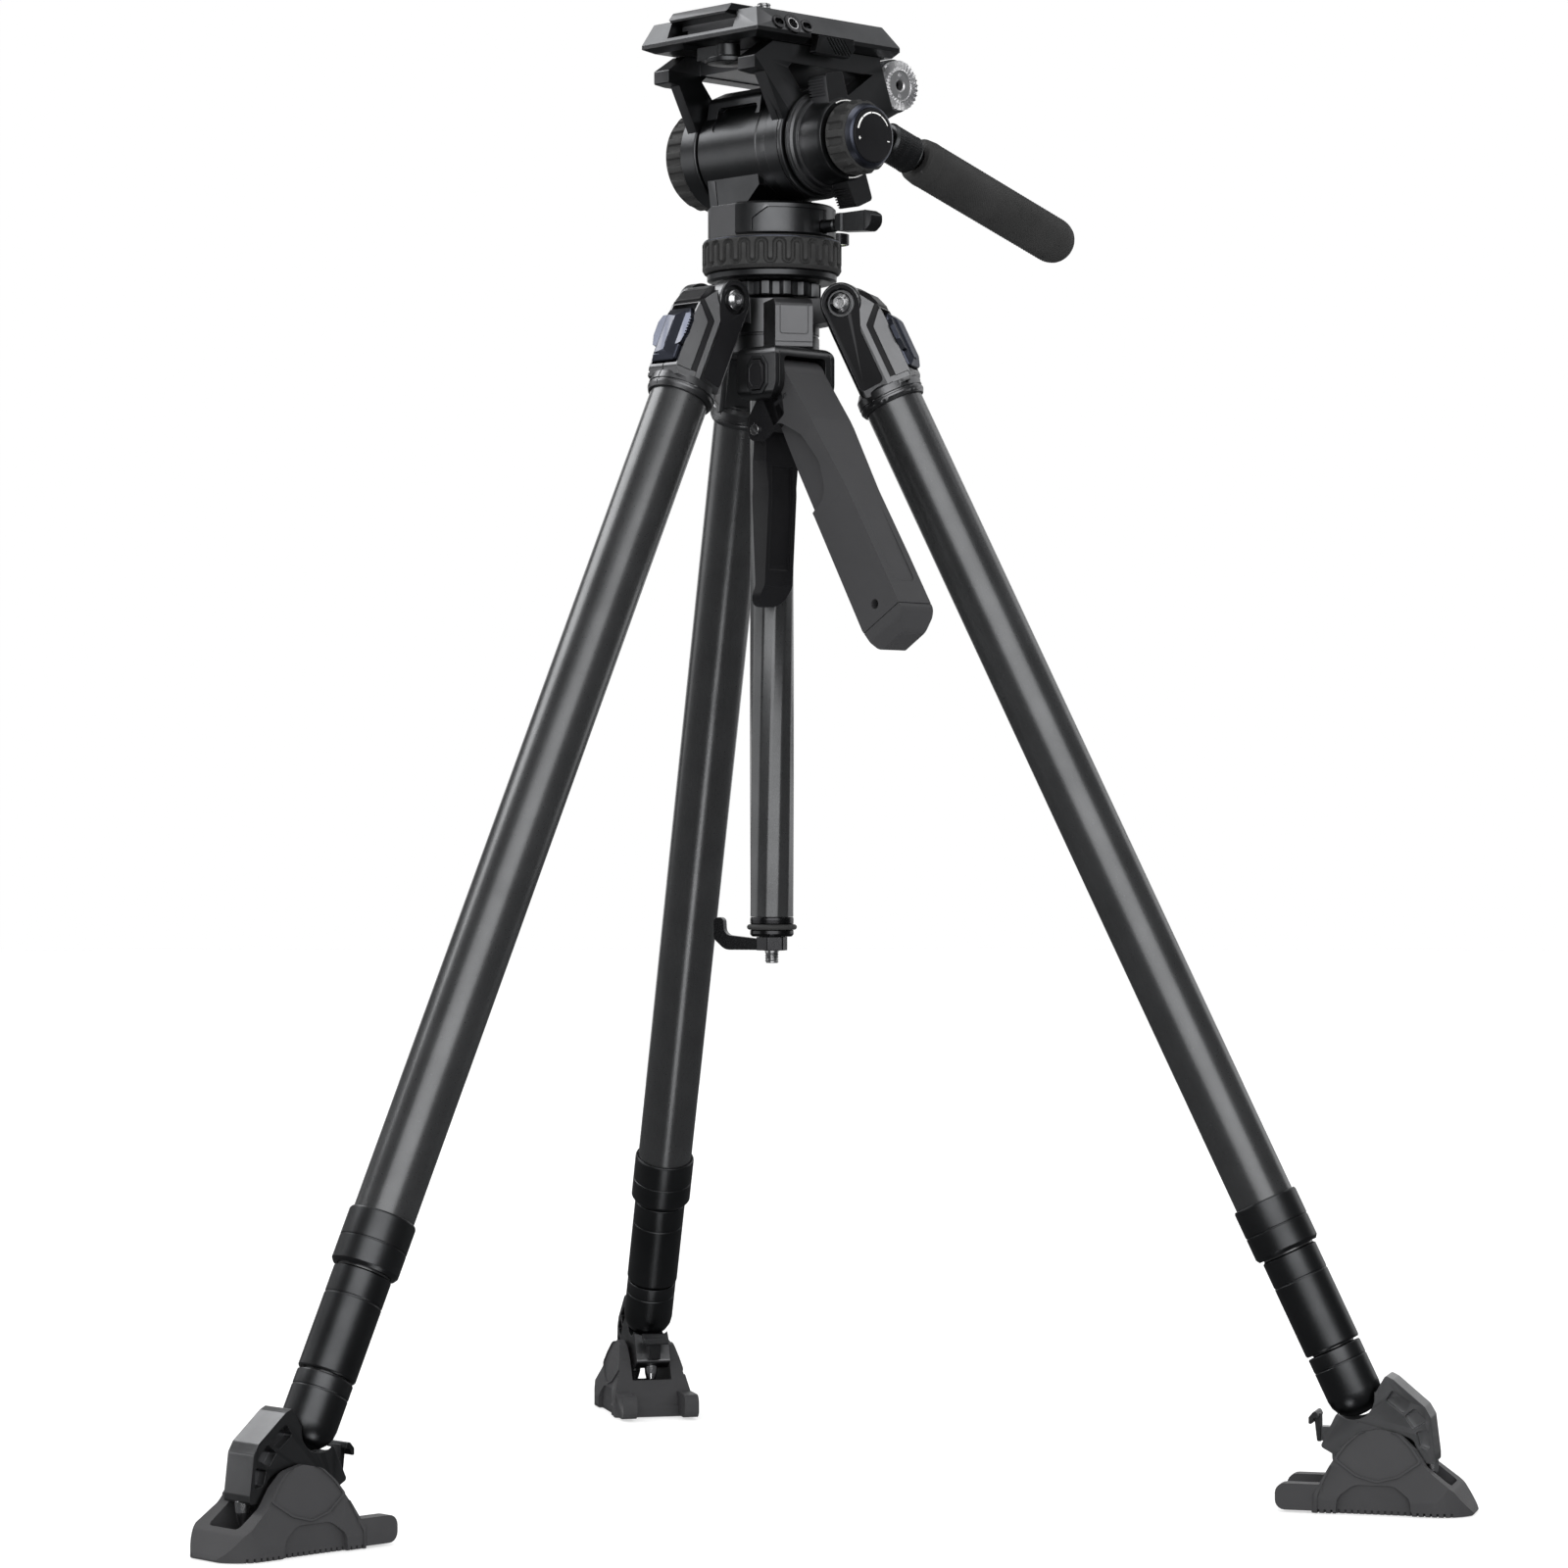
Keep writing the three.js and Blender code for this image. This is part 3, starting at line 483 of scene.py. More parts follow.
SLATE = painted("slate_anodised", (0.100, 0.108, 0.140), 1.0, 0.34, grain=0.3, bump=0.06, wear=0.3)
STEEL = painted("bright_steel", (0.62, 0.62, 0.63), 1.0, 0.24, grain=0.3, bump=0.08)
MARK = painted("white_mark", (0.75, 0.75, 0.74), 0.0, 0.5, grain=0.2, bump=0.05)
LEVEL_GREEN = painted("level_liquid", (0.35, 0.55, 0.05), 0.0, 0.08, grain=0.5, bump=0.02, coat=0.8)


# ---- Legs: shapes in the leg's own frame, -Z down the leg and X outward ----

FACET_FRONT = (21, 12.6)  # the shoulder's front corners are cut off from here
FACET_BACK = (6, 20)


def on_facet(outline, start, end):
    """An outline on both cut-off corners of the shoulder, drawn from a corner's front edge backward."""
    run, rise = FACET_FRONT[0] - FACET_BACK[0], FACET_BACK[1] - FACET_FRONT[1]
    lean = math.degrees(math.atan2(run, rise))
    shapes = []
    for way in (-1, 1):
        shape = prism("x", [(way * corner[0], *corner[1:]) for corner in outline], start, end)
        shapes.append(shifted(spun(shape, way * lean), FACET_FRONT[0], way * FACET_FRONT[1]))
    return join(*shapes)


def facet_groove(depth, height):
    """The groove round the flat of each cut-off corner, or its inlay."""
    outer = [(1, -9.5), (3, -9.5), (13.4, -20, 2), (13.4, -60), (1, -60)]
    inner = [(0.5, -13.5), (1.8, -13.5), (9.6, -22.5, 2), (9.6, -56.5), (0.5, -56.5)]
    return cut(on_facet(outer, -depth, height), on_facet(inner, -9, 9))


def side_panels(depth):
    """Drop-shaped panels on both sides of the shoulder, from a depth below its surface outward."""
    drop = [
        (-11.5, -57, 3), (-11.5, 11.5, 11.4), (11.5, 11.5, 11.4), (11.5, -4, 8), (4.5, -22, 6), (4.5, -57, 3),
    ]
    return both_sides(drop, SHOULDER_HALF - depth, SHOULDER_HALF + 2)


def bolt_seats():
    """Shallow cones round the two heads of the pivot bolt."""
    return [turned("y", [(0, w * 17), (8.4, w * 17), (9.8, w * 21), (0, w * 21)]) for w in (-1, 1)]


def shoulder_casting():
    side = [
        (-13, 0), (13, 0), (20.2, -12, 3), (21, -20, 4), (21, -57, 4), (18.5, -SHOULDER_END),
        (-14, -SHOULDER_END, 6), (-14, -20, 8),
    ]
    (front, front_half), (back, back_half) = FACET_FRONT, FACET_BACK
    plan = [
        (-14, -back_half, 4), (back, -back_half), (front, -front_half), (front, front_half),
        (back, back_half), (-14, back_half, 4),
    ]
    cheeks = common(prism("y", side, -SHOULDER_HALF, SHOULDER_HALF), prism("z", plan, -SHOULDER_END, 1))
    eye = rod("y", 13, -SHOULDER_HALF, SHOULDER_HALF, edge=1.2)
    cup = turned("z", [
        (0, -CUP_END), (20.0, -CUP_END, 0.5), (21.2, -67.6), (21.3, -66.4), (20.6, -66.0), (20.6, -65.0),
        (21.3, -64.6), (21.0, -60, 1), (18, -56), (0, -56),
    ])
    body = join(cheeks, eye, cup)
    slot = block(-40, 12, -10.6, 10.6, -16, 40)
    pocket = block(14.5, 40, -11.3, 11.3, -55, -12.6)
    seam = block(18.2, 30, -0.35, 0.35, -69, -55)
    return cut(
        body, slot, rod("y", BOLT_RADIUS + FIT, -30, 30, sides=32), *bolt_seats(), pocket,
        facet_groove(0.9, 3), seam, *side_panels(0.8),
        rod("z", TUBE_RADIUS + FIT, -CUP_END - 1, GAP - TUBE_START),
    )


def shoulder_trim():
    """The black stop on top of the shoulder, its side panels and the inlays in its grooves."""
    stop = [(6, -11.6), (6, 2.5, 2), (8, 4), (12.5, 4, 1.5), (17.5, -1, 2), (20.4, -9.5, 1), (18, -11.6)]
    inlay = common(facet_groove(1.4, -0.45), block(-30, 30, -30, 30, -56, 0))
    panels = common(join(*side_panels(1.2)), block(-30, 30, -19.6, 19.6, -80, 30))
    return join(prism("y", stop, -11.4, 11.4), inlay, cut(panels, *bolt_seats()))


def tab_shape():
    across = [(15, -10.7), (21.5, -10.7, 1.5), (26, -7, 3), (27, 2.2, 0.6), (23.4, 10.7, 1.5), (15, 10.7)]
    along = [(15, -54), (22.5, -54, 1), (27.3, -48.5, 4), (27.3, -25, 9), (22, -16.4, 3), (15, -16)]
    front = [(-10.7, -54, 2), (-10.7, -16, 5), (10.7, -16, 5), (10.7, -54, 2)]
    body = common(prism("z", across, -54, -16), prism("y", along, -11, 11), prism("x", front, 14, 28))
    wings = [
        (-10, -22), (-12.5, -22), (-15, -26.5, 2), (-15, -36, 2), (-12.5, -43), (-10, -44), (10, -44),
        (12.5, -43), (15, -36, 2), (15, -26.5, 2), (12.5, -22), (10, -22),
    ]
    shape = join(body, prism("x", wings, 21.6, 24.4))
    teeth = [block(22, 26, 13.6, 16, z, z + 0.9) for z in range(-40, -24, 2)]
    slits = [block(25.4, 28, 1.7, 2.2, -45, -28)]
    foot = prism("x", [(-8.6, -55), (-8.6, -50, 1.5), (-2, -50, 1.5), (-2, -55)], 25.2, 28)
    return cut(shape, *teeth, *slits, foot)


def upper_tube():
    return tube("z", TUBE_RADIUS, TUBE_RADIUS - TUBE_WALL, -TUBE_END, -TUBE_START, 0.4, sides=96)


def collar_shape():
    return turned("z", [
        (18.8, -640.3), (18.8, -615), (19.7, -615, 0.4), (20.4, -616.4), (20.4, -632), (20.05, -632.3),
        (20.05, -632.9), (20.4, -633.2), (20.4, -646.8, 0.8), (18.9, -649, 0.4), (16.6, -649), (16.6, -640.3),
    ], sides=96)


def middle_tube():
    return tube("z", MIDDLE_RADIUS, MIDDLE_BORE, -652, -110, 0.4)


def middle_sleeve():
    return turned("z", [
        (MIDDLE_BORE, -SLEEVE_END), (16.9, -SLEEVE_END, 0.4), (17.5, -711.8, 0.5), (17.5, -668),
        (17.2, -667.6), (17.2, -666.8), (17.5, -666.4), (17.5, -651, 0.5), (MIDDLE_RADIUS, -650),
        (MIDDLE_RADIUS, -652.5), (MIDDLE_BORE, -652.5),
    ], sides=96)


def lower_tube():
    return tube("z", LOWER_RADIUS, LOWER_BORE, -SLEEVE_END - 1, -150, 0.4)


def ball_adapter():
    return turned("z", [
        (LOWER_BORE, -SLEEVE_END), (LOWER_RADIUS, -714.4), (16.6, -714.5), (17, -715.2), (17, -723),
        (16.7, -723.4), (16.7, -724), (17, -724.4), (17, -757, 14.5), (0, -757), (0, -SLEEVE_END),
    ], sides=96)


def bolt_shape():
    bolt = turned("y", [
        (0, -22.5), (3.8, -22.5, 0.4), (6.8, -20.4, 2.2), (6.8, -17.4, 0.3), (4, -17.4),
        (4, 17.4), (6.8, 17.4, 0.3), (6.8, 20.4, 2.2), (3.8, 22.5, 0.4), (0, 22.5),
    ])
    hexagon = ring_points(2.9, 6)
    return cut(bolt, prism("y", hexagon, -23, -20), prism("y", hexagon, 20, 23))


# ---- Feet: shapes in the foot's own frame, level, with the ball's centre at the origin ----

def foot_bracket():
    side = [
        (-19.7, -30, 2), (-10, -35.4, 2), (8, -26, 5), (24, -19, 5), (37, -24, 6), (42, -38, 2),
        (50.2, -38, 1.5), (50.2, -33, 4), (47.4, -10.2, 4), (43.9, -4.1, 4), (24.8, 11.9, 2.5),
        (20, 14.2, 1.5), (14, 4), (0, 0), (-10.5, -11, 1),
    ]
    radius = BALL_RADIUS + FIT
    socket = turned("z", [(0, -radius), *quarter(radius, -90)[1:], (radius, 40), (0, 40)])
    pockets = [
        [(24, 5.5, 1.5), (35.9, -1.8, 1.5), (30.3, -9, 1.5), (20, -1.1, 1.5)],
        [(37.5, -4.9, 1.5), (45, -12.6, 1.5), (36.7, -17.8, 1.5), (31.1, -10.2, 1.5)],
        [(38.3, -19.4, 1.5), (46.2, -17.2, 1.5), (47, -30, 1.5), (40.6, -28, 1.5)],
    ]
    recesses = [shape for corners in pockets for shape in both_sides(corners, 5.5, 13)]
    latch_lug = block(-20.4, -12, -4, 4, -27.5, -19)
    return cut(join(prism("y", side, -12, 12), latch_lug), socket, *recesses)


def spike(x, root, tip):
    return turned("z", [
        (0, tip), (0.7, tip, 0.2), (4.3, root - 6.5, 0.4), (4.5, root - 3, 0.3), (4.5, root), (0, root),
    ], centre=(x, 0), sides=40)


def shoe_shell(grow):
    sole = -BALL_HEIGHT
    half = SHOE_HALF - 1 + grow
    side = [
        (-23, sole), (74, sole, 1), (72, -65, 3), (63, -53, 10), (46, -40, 9), (39, -29, 12), (30, -20.5, 10),
        (16.8, -17.5, 6), (3.6, -20.5, 10), (-5.4, -29, 12), (-12.4, -40, 9), (-23, -60, 8),
    ]
    end = symmetric([(half, sole, 1), (half, -60, 6), (23.4 + grow, -40, 12), (18 + grow, -17)])
    plan = [(-23, -half, 5), (74, -half, 24), (74, half, 24), (-23, half, 5)]
    return common(prism("y", side, -30, 30), prism("x", end, -23, 74), prism("z", plan, sole, -17, 12))


def arch_panel(size):
    """The panel on the side of the shoe, pointed above and round below, drawn to size about its middle."""
    middle = Vector((16.8, -33))
    corners = [
        (-10, -36, 1.5), (-4, -27.5, 10), (4.5, -19.5, 8), (16.8, -15.5, 6), (29, -19.5, 8),
        (37.6, -27.5, 10), (43.6, -36, 1.5), (30, -45.5, 12), (16.8, -49, 8), (3.6, -45.5, 12),
    ]
    return [(*(middle + (Vector(c[:2]) - middle) * size), c[2] * size) for c in corners]


def shoe_shape():
    sole = -BALL_HEIGHT
    panel = common(shoe_shell(1.0), prism("y", arch_panel(1), -31, 31))
    rim = cut(panel, prism("y", arch_panel(0.93), -40, 40))
    heel = [(-14.5, -40), (-11.5, -40), (-19, -58), (-19, sole), (-23, sole), (-23, -58)]
    edge_rib = common(shoe_shell(0.9), prism("y", heel, -31, 31))
    body = join(shoe_shell(0), rim, edge_rib)
    slot = prism("z", [(-14, -14), (60, -14, 3), (60, 14, 3), (-14, 14)], -60, 0)
    dome = [
        (-8, sole - 1), (38, sole - 1), (37, sole + 10, 7), (27, sole + 17.5, 10), (3, sole + 17.5, 10),
        (-7, sole + 10, 7),
    ]
    hollows = both_sides(dome, 24.8, 31)
    notches = []
    for step in range(23):
        x = -19 + 4 * step
        notches.append(block(x, x + 1.3, -31, 31, sole - 1, sole + 2.2))
    comb = cut(join(*notches), block(-30, 80, -23.5, 23.5, -80, -60))
    prongs = both_sides([(-45, -67, 6), (-45, -51, 6), (-16, -51), (-16, -67)], 17, 27)
    return cut(join(cut(body, slot, *hollows), *prongs), comb)


def latch_shape():
    stem = prism("y", [(-20.7, -28), (-23, -28, 1), (-25, -11), (-21, -11)], -4, 4)
    hook = [
        (-20.8, -13.5, 1), (-23.2, -8.1, 1.5), (-27.4, -13, 1), (-27.4, -17, 0.8), (-25.4, -17, 0.8),
        (-24.2, -13, 1),
    ]
    ridges = [block(-28, -26.9, -7, 7, z, z + 0.7) for z in (-16.2, -14.8, -13.4)]
    return cut(join(stem, prism("y", hook, -9, 9)), *ridges)


# ---- Knurls, ribs and threads: changes that turned() makes to a surface ----

def ribs(count, depth, low, high, beyond, ease=2.0):
    """Flat hollows between raised ribs, on the surface that is further out than beyond."""
    def change(angle, radius, place):
        if radius < beyond:
            return radius, place
        ends = min(1, max(0, (place - low) / ease), max(0, (high - place) / ease))
        wave = 0.5 - 0.5 * math.cos(angle * count)
        return radius - depth * ends * min(1, max(0, 3 * wave - 1)), place
    return change


def knurl(count, pitch, depth, low, high, beyond):
    """Two sets of crossing grooves, which leave small pyramids."""
    def change(angle, radius, place):
        if radius < beyond or not low < place < high:
            return radius, place
        around, along = count * angle / TAU, place / pitch
        one = abs((around + along) % 1 - 0.5) * 2
        other = abs((around - along) % 1 - 0.5) * 2
        return radius - depth * (1 - min(one, other)), place
    return change


def thread(pitch, depth, low, high, beyond):
    def change(angle, radius, place):
        if radius < beyond or not low < place < high:
            return radius, place
        return radius - depth * (0.5 + 0.5 * math.cos(TAU * (place / pitch - angle / TAU))), place
    return change


def arc_band(inner, outer, start, end, steps=24):
    """The outline of a part of a ring, between two angles in degrees."""
    angles = [math.radians(start + (end - start) * k / steps) for k in range(steps + 1)]
    return [on_circle(outer, a) for a in angles] + [on_circle(inner, a) for a in reversed(angles)]


# ---- Spider, column and hook: shapes about the column's axis ----

def hub_shape():
    barrel = turned("z", [
        (0, HUB_BOTTOM), (HUB_RADIUS, HUB_BOTTOM, 1.5), (HUB_RADIUS, 722), (HUB_RADIUS - 0.6, 722.5),
        (HUB_RADIUS - 0.6, 723.5), (HUB_RADIUS, 724), (HUB_RADIUS, HUB_TOP, 1.5), (0, HUB_TOP),
    ])
    lugs = []
    for azimuth in LEG_AZIMUTHS.values():
        arm = [(20, 728), (40, 731), (PIVOT_RADIUS, 731), (PIVOT_RADIUS, 746), (20, 746)]
        eye = rod("y", 10.5, -10, 10, (PIVOT_RADIUS, PIVOT_HEIGHT), 48, 0.6)
        bore = rod("y", BOLT_RADIUS + GAP, -30, 30, (PIVOT_RADIUS, PIVOT_HEIGHT), 32)
        lugs.append(spun(cut(join(prism("y", arm, -10, 10), eye), bore), azimuth))
    front = [(20, HUB_BOTTOM), (58, HUB_BOTTOM, 1), (58, 738, 4), (54, 742, 2), (20, 742)]
    mount = prism("y", front, -12, 12)
    line = cut(
        prism("x", rectangle(-9.2, 9.2, 719.5, 745, 2, 0), 57.4, 60),
        prism("x", rectangle(-8.7, 8.7, 720, 750, 1.6, 0), 50, 70),
    )
    ledge = block(57.2, 60, -13, 13, 714.4, 715)
    mount = spun(cut(mount, line, ledge), GRIP_AZIMUTH)
    bore = rod("z", COLUMN_RADIUS + 2 * GAP, HUB_BOTTOM - 1, HUB_TOP + 1)
    return cut(join(barrel, *lugs, mount), bore)


def lock_collar_shape():
    profile = dense([(14.6, 747), (31, 747, 1.2), (31, 756.7, 1.2), (14.6, 756.7)], 1.2)
    return turned("z", profile, 14 * 12, change=ribs(14, 2.6, 746, 758, 24, 0.6))


def column_shape():
    """Flat facets that turn slowly about the column as they go up it."""
    facets = 12
    half = math.pi / facets

    def facet(angle, radius, place):
        off = (angle % (2 * half)) - half
        flat = COLUMN_RADIUS * math.cos(half) / math.cos(off)
        return (min(flat, COLUMN_RADIUS - 0.12), place) if radius > 13 else (radius, place)

    inner = COLUMN_RADIUS - TUBE_WALL
    profile = dense([
        (inner, COLUMN_BOTTOM), (COLUMN_RADIUS, COLUMN_BOTTOM), (COLUMN_RADIUS, COLUMN_TOP),
        (inner, COLUMN_TOP),
    ], 12)
    shape = turned("z", profile, facets * 6, change=facet)
    for vertex in shape.data.vertices:
        lean = Matrix.Rotation((vertex.co.z - COLUMN_BOTTOM) * 0.0022, 3, "Z")
        vertex.co = lean @ vertex.co
    return shape


def ferrule():
    return turned("z", [
        (0, 345), (12.6, 345, 0.8), (13.8, 346.6, 0.8), (13.7, 348.9, 0.4), (12.8, 349.2), (12.8, 352.8),
        (13.7, 353.1, 0.4), (13.8, 355.6, 0.6), (13.6, 357.2, 0.5), (0, 357.2),
    ])


def rubber_ring():
    return turned("z", [(13.95 + 1.85 * a, 351 + 1.75 * b) for a, b in ring_points(1, 16)])


def spindle_shape():
    return rod("z", 5, 336, 345.5, sides=32)


def stud_shape():
    profile = dense([(0, 328.3), (3.6, 328.3, 0.4), (4.35, 329.2), (4.35, 336.2), (0, 336.2)], 0.25)
    return turned("z", profile, 32, change=thread(1.6, 0.55, 328.8, 335.2, 3))


def hook_shape():
    hexagon = [(*point, 1.5) for point in ring_points(10.2, 6, 0.5)]
    hub = cut(prism("z", hexagon, 336.3, 344.7), rod("z", 5.4, 330, 350, sides=32))
    side = [
        (7, 336.5), (30, 336.5, 8), (37.5, 343.5, 5), (37.5, 357, 3), (31, 357, 3), (30.4, 346, 5),
        (7, 343.4),
    ]
    arm = prism("y", side, -3.4, 3.4, 8)
    grooves = [block(x, x + 0.7, -5, 5, 336, 337.1) for x in (14, 17, 20, 23)]
    return cut(join(hub, arm), *grooves)


# ---- Carry grip ----

def bracket_shape():
    x, y, z = GRIP_PIVOT
    near, far = y - BRACKET_HALF, y + BRACKET_HALF
    slot_half = GRIP_HALF + 2 * GAP
    shell = common(
        prism("y", [(25.7, 678, 7), (60, 678, 11), (60, 711, 7), (25.7, 711, 3)], near, far, 8),
        prism("x", rectangle(near, far, 678, 711, 6), 20, 61, 8),
    )
    room = prism("x", rectangle(y - slot_half, y + slot_half, 660, z + 14.3, 0, 3), x - 15, 70)
    lip = cut(
        prism("x", rectangle(y - 22.4, y + 22.4, 660, 708.4, 0, 4), 59.2, 62),
        prism("x", rectangle(y - 21.8, y + 21.8, 650, 707.8, 0, 3.6), 50, 70),
    )
    button_room = prism("y", button_outline(0.79), y - 30, y - slot_half + 1)
    return cut(shell, room, lip, button_room)


def button_outline(size):
    """The elongated eight-sided outline of the grip's button, drawn to size."""
    x, y, z = GRIP_PIVOT
    corners = [(-9, -6.5), (-4.5, -12), (4.5, -12), (9, -6.5), (9, 6.5), (4.5, 12), (-4.5, 12), (-9, 6.5)]
    return [(x - 4 + a * size, z + 3 + b * size) for a, b in corners]


def button_shape():
    y = GRIP_PIVOT[1]
    cap = prism("y", button_outline(0.76), y - 27.5, y - 23)
    dish = prism("y", button_outline(0.6), y - 29, y - 27)
    return cut(cap, dish)


def button_frame():
    y = GRIP_PIVOT[1]
    return cut(
        prism("y", button_outline(1), y - 26.4, y - 24.5), prism("y", button_outline(0.79), y - 30, y - 20),
    )


def handle_shape():
    side = [
        (-12.5, 0), (12.5, 0), (16, -40, 30), (17.5, -140), (17.5, -180, 6), (8, -191, 6), (-14, -191, 4),
        (-17.5, -174, 4), (-15, -60, 20), (-13, -20, 6),
    ]
    front = symmetric([(GRIP_HALF, 14), (GRIP_HALF, -46, 20), (14, -92, 20), (14, -184, 5), (9, -192, 3)])
    eye = rod("y", 13.3, -GRIP_HALF, GRIP_HALF, edge=1)
    body = common(join(prism("y", side, -GRIP_HALF, GRIP_HALF, 8), eye), prism("x", front, -20, 20, 8))
    marks = both_sides(rectangle(-6, 6, -16, -13.6), GRIP_HALF - 0.9, 20)
    marks += both_sides(rectangle(-1.2, 1.2, -14, -4), GRIP_HALF - 0.9, 20)
    scoop = [(-22, -24), (-8, -26, 8), (4, -44, 14), (7, -66, 12), (0, -86, 14), (-22, -90)]
    scoops = both_sides(scoop, GRIP_HALF - 6, 20, 8)
    palm = prism("x", rectangle(-9, 9, -98, -160, 4), 16.9, 20)
    strap = rod("y", 3, -30, 30, (0, -166), 40)
    return cut(body, *marks, *scoops, palm, strap, block(-20, 20, -20, 20, -176.4, -175.9))


def ears_shape():
    """The two ears on the grip that carry the trigger, upright about the object's own axes."""
    x, y, z = TRIGGER_PIVOT
    side = [
        (x - 7, z - 6, 5), (x + 6, z - 8, 4), (60, 668, 3), (56, 690), (42, 690, 4), (x - 7, z + 8, 4),
    ]
    ears = prism("y", side, y - GRIP_HALF, y + GRIP_HALF)
    ears = cut(ears, block(x - 20, 47, y - 14.6, y + 14.6, z - 20, z + 20))
    return spun(shifted(ears, *(-a for a in GRIP_PIVOT)), GRIP_LEAN, "Y")


def slotted_screw(way):
    x, y, z = TRIGGER_PIVOT
    outer = y + way * (GRIP_HALF + 1.6)
    inner = y + way * (GRIP_HALF - 0.5)
    low, high = sorted((outer, inner))
    head = rod("y", 3.6, low, high, (x, z), 32, 0.4)
    blade = block(x - 4, x + 4, outer - 0.6, outer + 0.6, z - 0.45, z + 0.45)
    return cut(head, spun(blade, 35, "Y", (x, 0, z)))


def trigger_shape():
    side = [
        (-5, 5, 3), (5, 5, 3), (6, -40, 30), (2.5, -96, 6), (-9, -112, 1.5), (-13, -110, 1), (-6, -96, 8),
        (-9, -40, 30), (-5.5, -12, 6),
    ]
    front = symmetric([(14, 3), (14, -19, 4), (12, -35, 8), (12, -109, 9)])
    blade = common(prism("y", side, -14, 14, 8), prism("x", front, -20, 20, 8))
    hollow = prism("y", [(3.2, -22, 4), (12, -22), (12, -88), (1.6, -88, 4), (3.6, -50, 20)], -9, 9, 8)
    grip_lines = [block(-20, -8.3, -8, 8, z, z + 0.9) for z in range(-72, -46, 4)]
    return cut(blade, hollow, *grip_lines)


# ---- Head: pan unit ----

def flange_shape():
    low = COLUMN_TOP + GAP
    return turned("z", [
        (0, low), (38, low), (41, 758.6, 0.4), (41, 762.5, 0.8), (30, 762.5), (30, 784), (9.4, 784),
        (9.4, 764), (0, 764),
    ], sides=120)


def winding_groove(count, depth, low, high, beyond):
    """A groove that winds up and down round the ring in rounded turns."""
    def change(angle, radius, place):
        if radius < beyond:
            return radius, place
        pitch = TAU * radius / count
        across = (angle * count / TAU % 1) * pitch
        bend = pitch / 4
        if place > high:
            off = abs(math.hypot(across - pitch / 2, place - high) - bend)
        elif place < low:
            off = abs(math.hypot(min(across, pitch - across), low - place) - bend)
        else:
            off = abs(abs(across - pitch / 2) - bend)
        return radius - depth * min(1, max(0, 1.6 * (1.5 - off))), place
    return change


def drag_ring_shape():
    profile = dense([
        (30.5, 762.8), (42.6, 762.8, 0.8), (DRAG_RING_RADIUS, 765.2, 0.8), (DRAG_RING_RADIUS, 781.4, 0.8),
        (42.6, 783.8, 0.8), (30.5, 783.8),
    ], 0.8)
    return turned("z", profile, 24 * 18, change=winding_groove(24, 1.8, 769.4, 777.4, 42.4))


def rim_ring(height):
    return tube("z", 43.5, 41.6, height - 0.5, height + 0.5, 0.3, sides=120)


def bubble_centre():
    return on_circle(LEVEL_DISTANCE, math.radians(LEVEL_AZIMUTH))


def pan_base_shape():
    body = turned("z", [
        (0, PAN_BASE_BOTTOM), (39.4, PAN_BASE_BOTTOM), (PAN_BASE_RADIUS, 785.6),
        (PAN_BASE_RADIUS, 803.4, 0.5), (38.8, PAN_BASE_TOP, 0.5), (0, PAN_BASE_TOP),
    ], 120)
    step = common(
        turned("z", [(39.3, 786.6), (45, 786.6), (45, 801), (39.3, 801)], 120),
        prism("y", [(19, 780), (19, 794, 1), (27, 801), (60, 801), (60, 780)], -60, 10),
    )
    return cut(
        body, rod("z", 9.4, PAN_BASE_BOTTOM - 1, 803.5), block(-60, 8, -60, -34, 780, 810), step,
        rod("x", 4.6, 34, 60, PAN_LOCK_AXIS, 32), rod("z", 8.4, 780, 810, bubble_centre(), 48),
    )


def level_bezel():
    return tube("z", 8, 6.2, 784.6, 791.6, 0.5, bubble_centre(), 48)


def level_dome():
    return turned("z", [(0, 785), (6.2, 785), (6.2, 790.6), (4, 791.8, 2), (0, 792)], 40, bubble_centre())


def pan_lock_shape():
    necked = [
        (0, 35), (4.1, 35, 0.4), (4.1, 49), (3.2, 50), (3.2, 51.5), (4.1, 52.5), (4.1, 56), (0, 56),
    ]
    shaft = turned("x", necked, 40, PAN_LOCK_AXIS)
    side = [(53.5, 786, 2), (80, 784, 5), (85.5, 788, 5), (85.5, 794, 3), (80, 797, 4), (53.5, 797, 2)]
    tab = prism("y", side, 3, 13)
    waist = prism("z", [(57, 2), (80, 2), (80, 4.2, 2), (60, 4.2, 2)], 780, 800)
    return cut(join(shaft, tab), waist)


# ---- Head: tilt unit ----

def barrel_shape():
    radius = BARREL_RADIUS
    outline = [(0, -34), (radius - 1, -34), (radius, -33), (radius, 19), (radius - 1, 20), (0, 20)]
    body = turned("x", outline, 144, TILT_AXIS)
    front = [(-25, PAN_BASE_TOP + GAP, 1), (25, PAN_BASE_TOP + GAP, 1), (28, 825), (-28, 825)]
    pedestal = common(
        prism("x", front, -30, 16),
        prism("y", [(-30, 805), (2, 805), (16, 816), (16, 826), (-30, 826)], -40, 40),
    )
    notch = block(-23.4, -22.6, -30, -23, 800, 822)
    hump = [(-29, 850), (-25, 874, 5), (-10, 880.5, 8), (20, 880.5, 8), (27, 872, 6), (29, 850)]
    saddle = prism("x", hump, -31, 17)
    shell = turned("x", [(radius - 0.7, -24), (40, -24), (40, 19), (radius - 0.7, 19)], 144, TILT_AXIS)
    panel = common(shell, prism("y", [(-22, 852, 3), (8.5, 852, 3), (16, 868, 3), (-22, 868, 3)], -40, 0))
    return cut(join(body, pedestal, saddle), rod("x", SHAFT_RADIUS + FIT, -40, 30, TILT_AXIS), panel, notch)


def above_axis(corners):
    return [(y, z + TILT_HEIGHT, *rest) for y, z, *rest in corners]


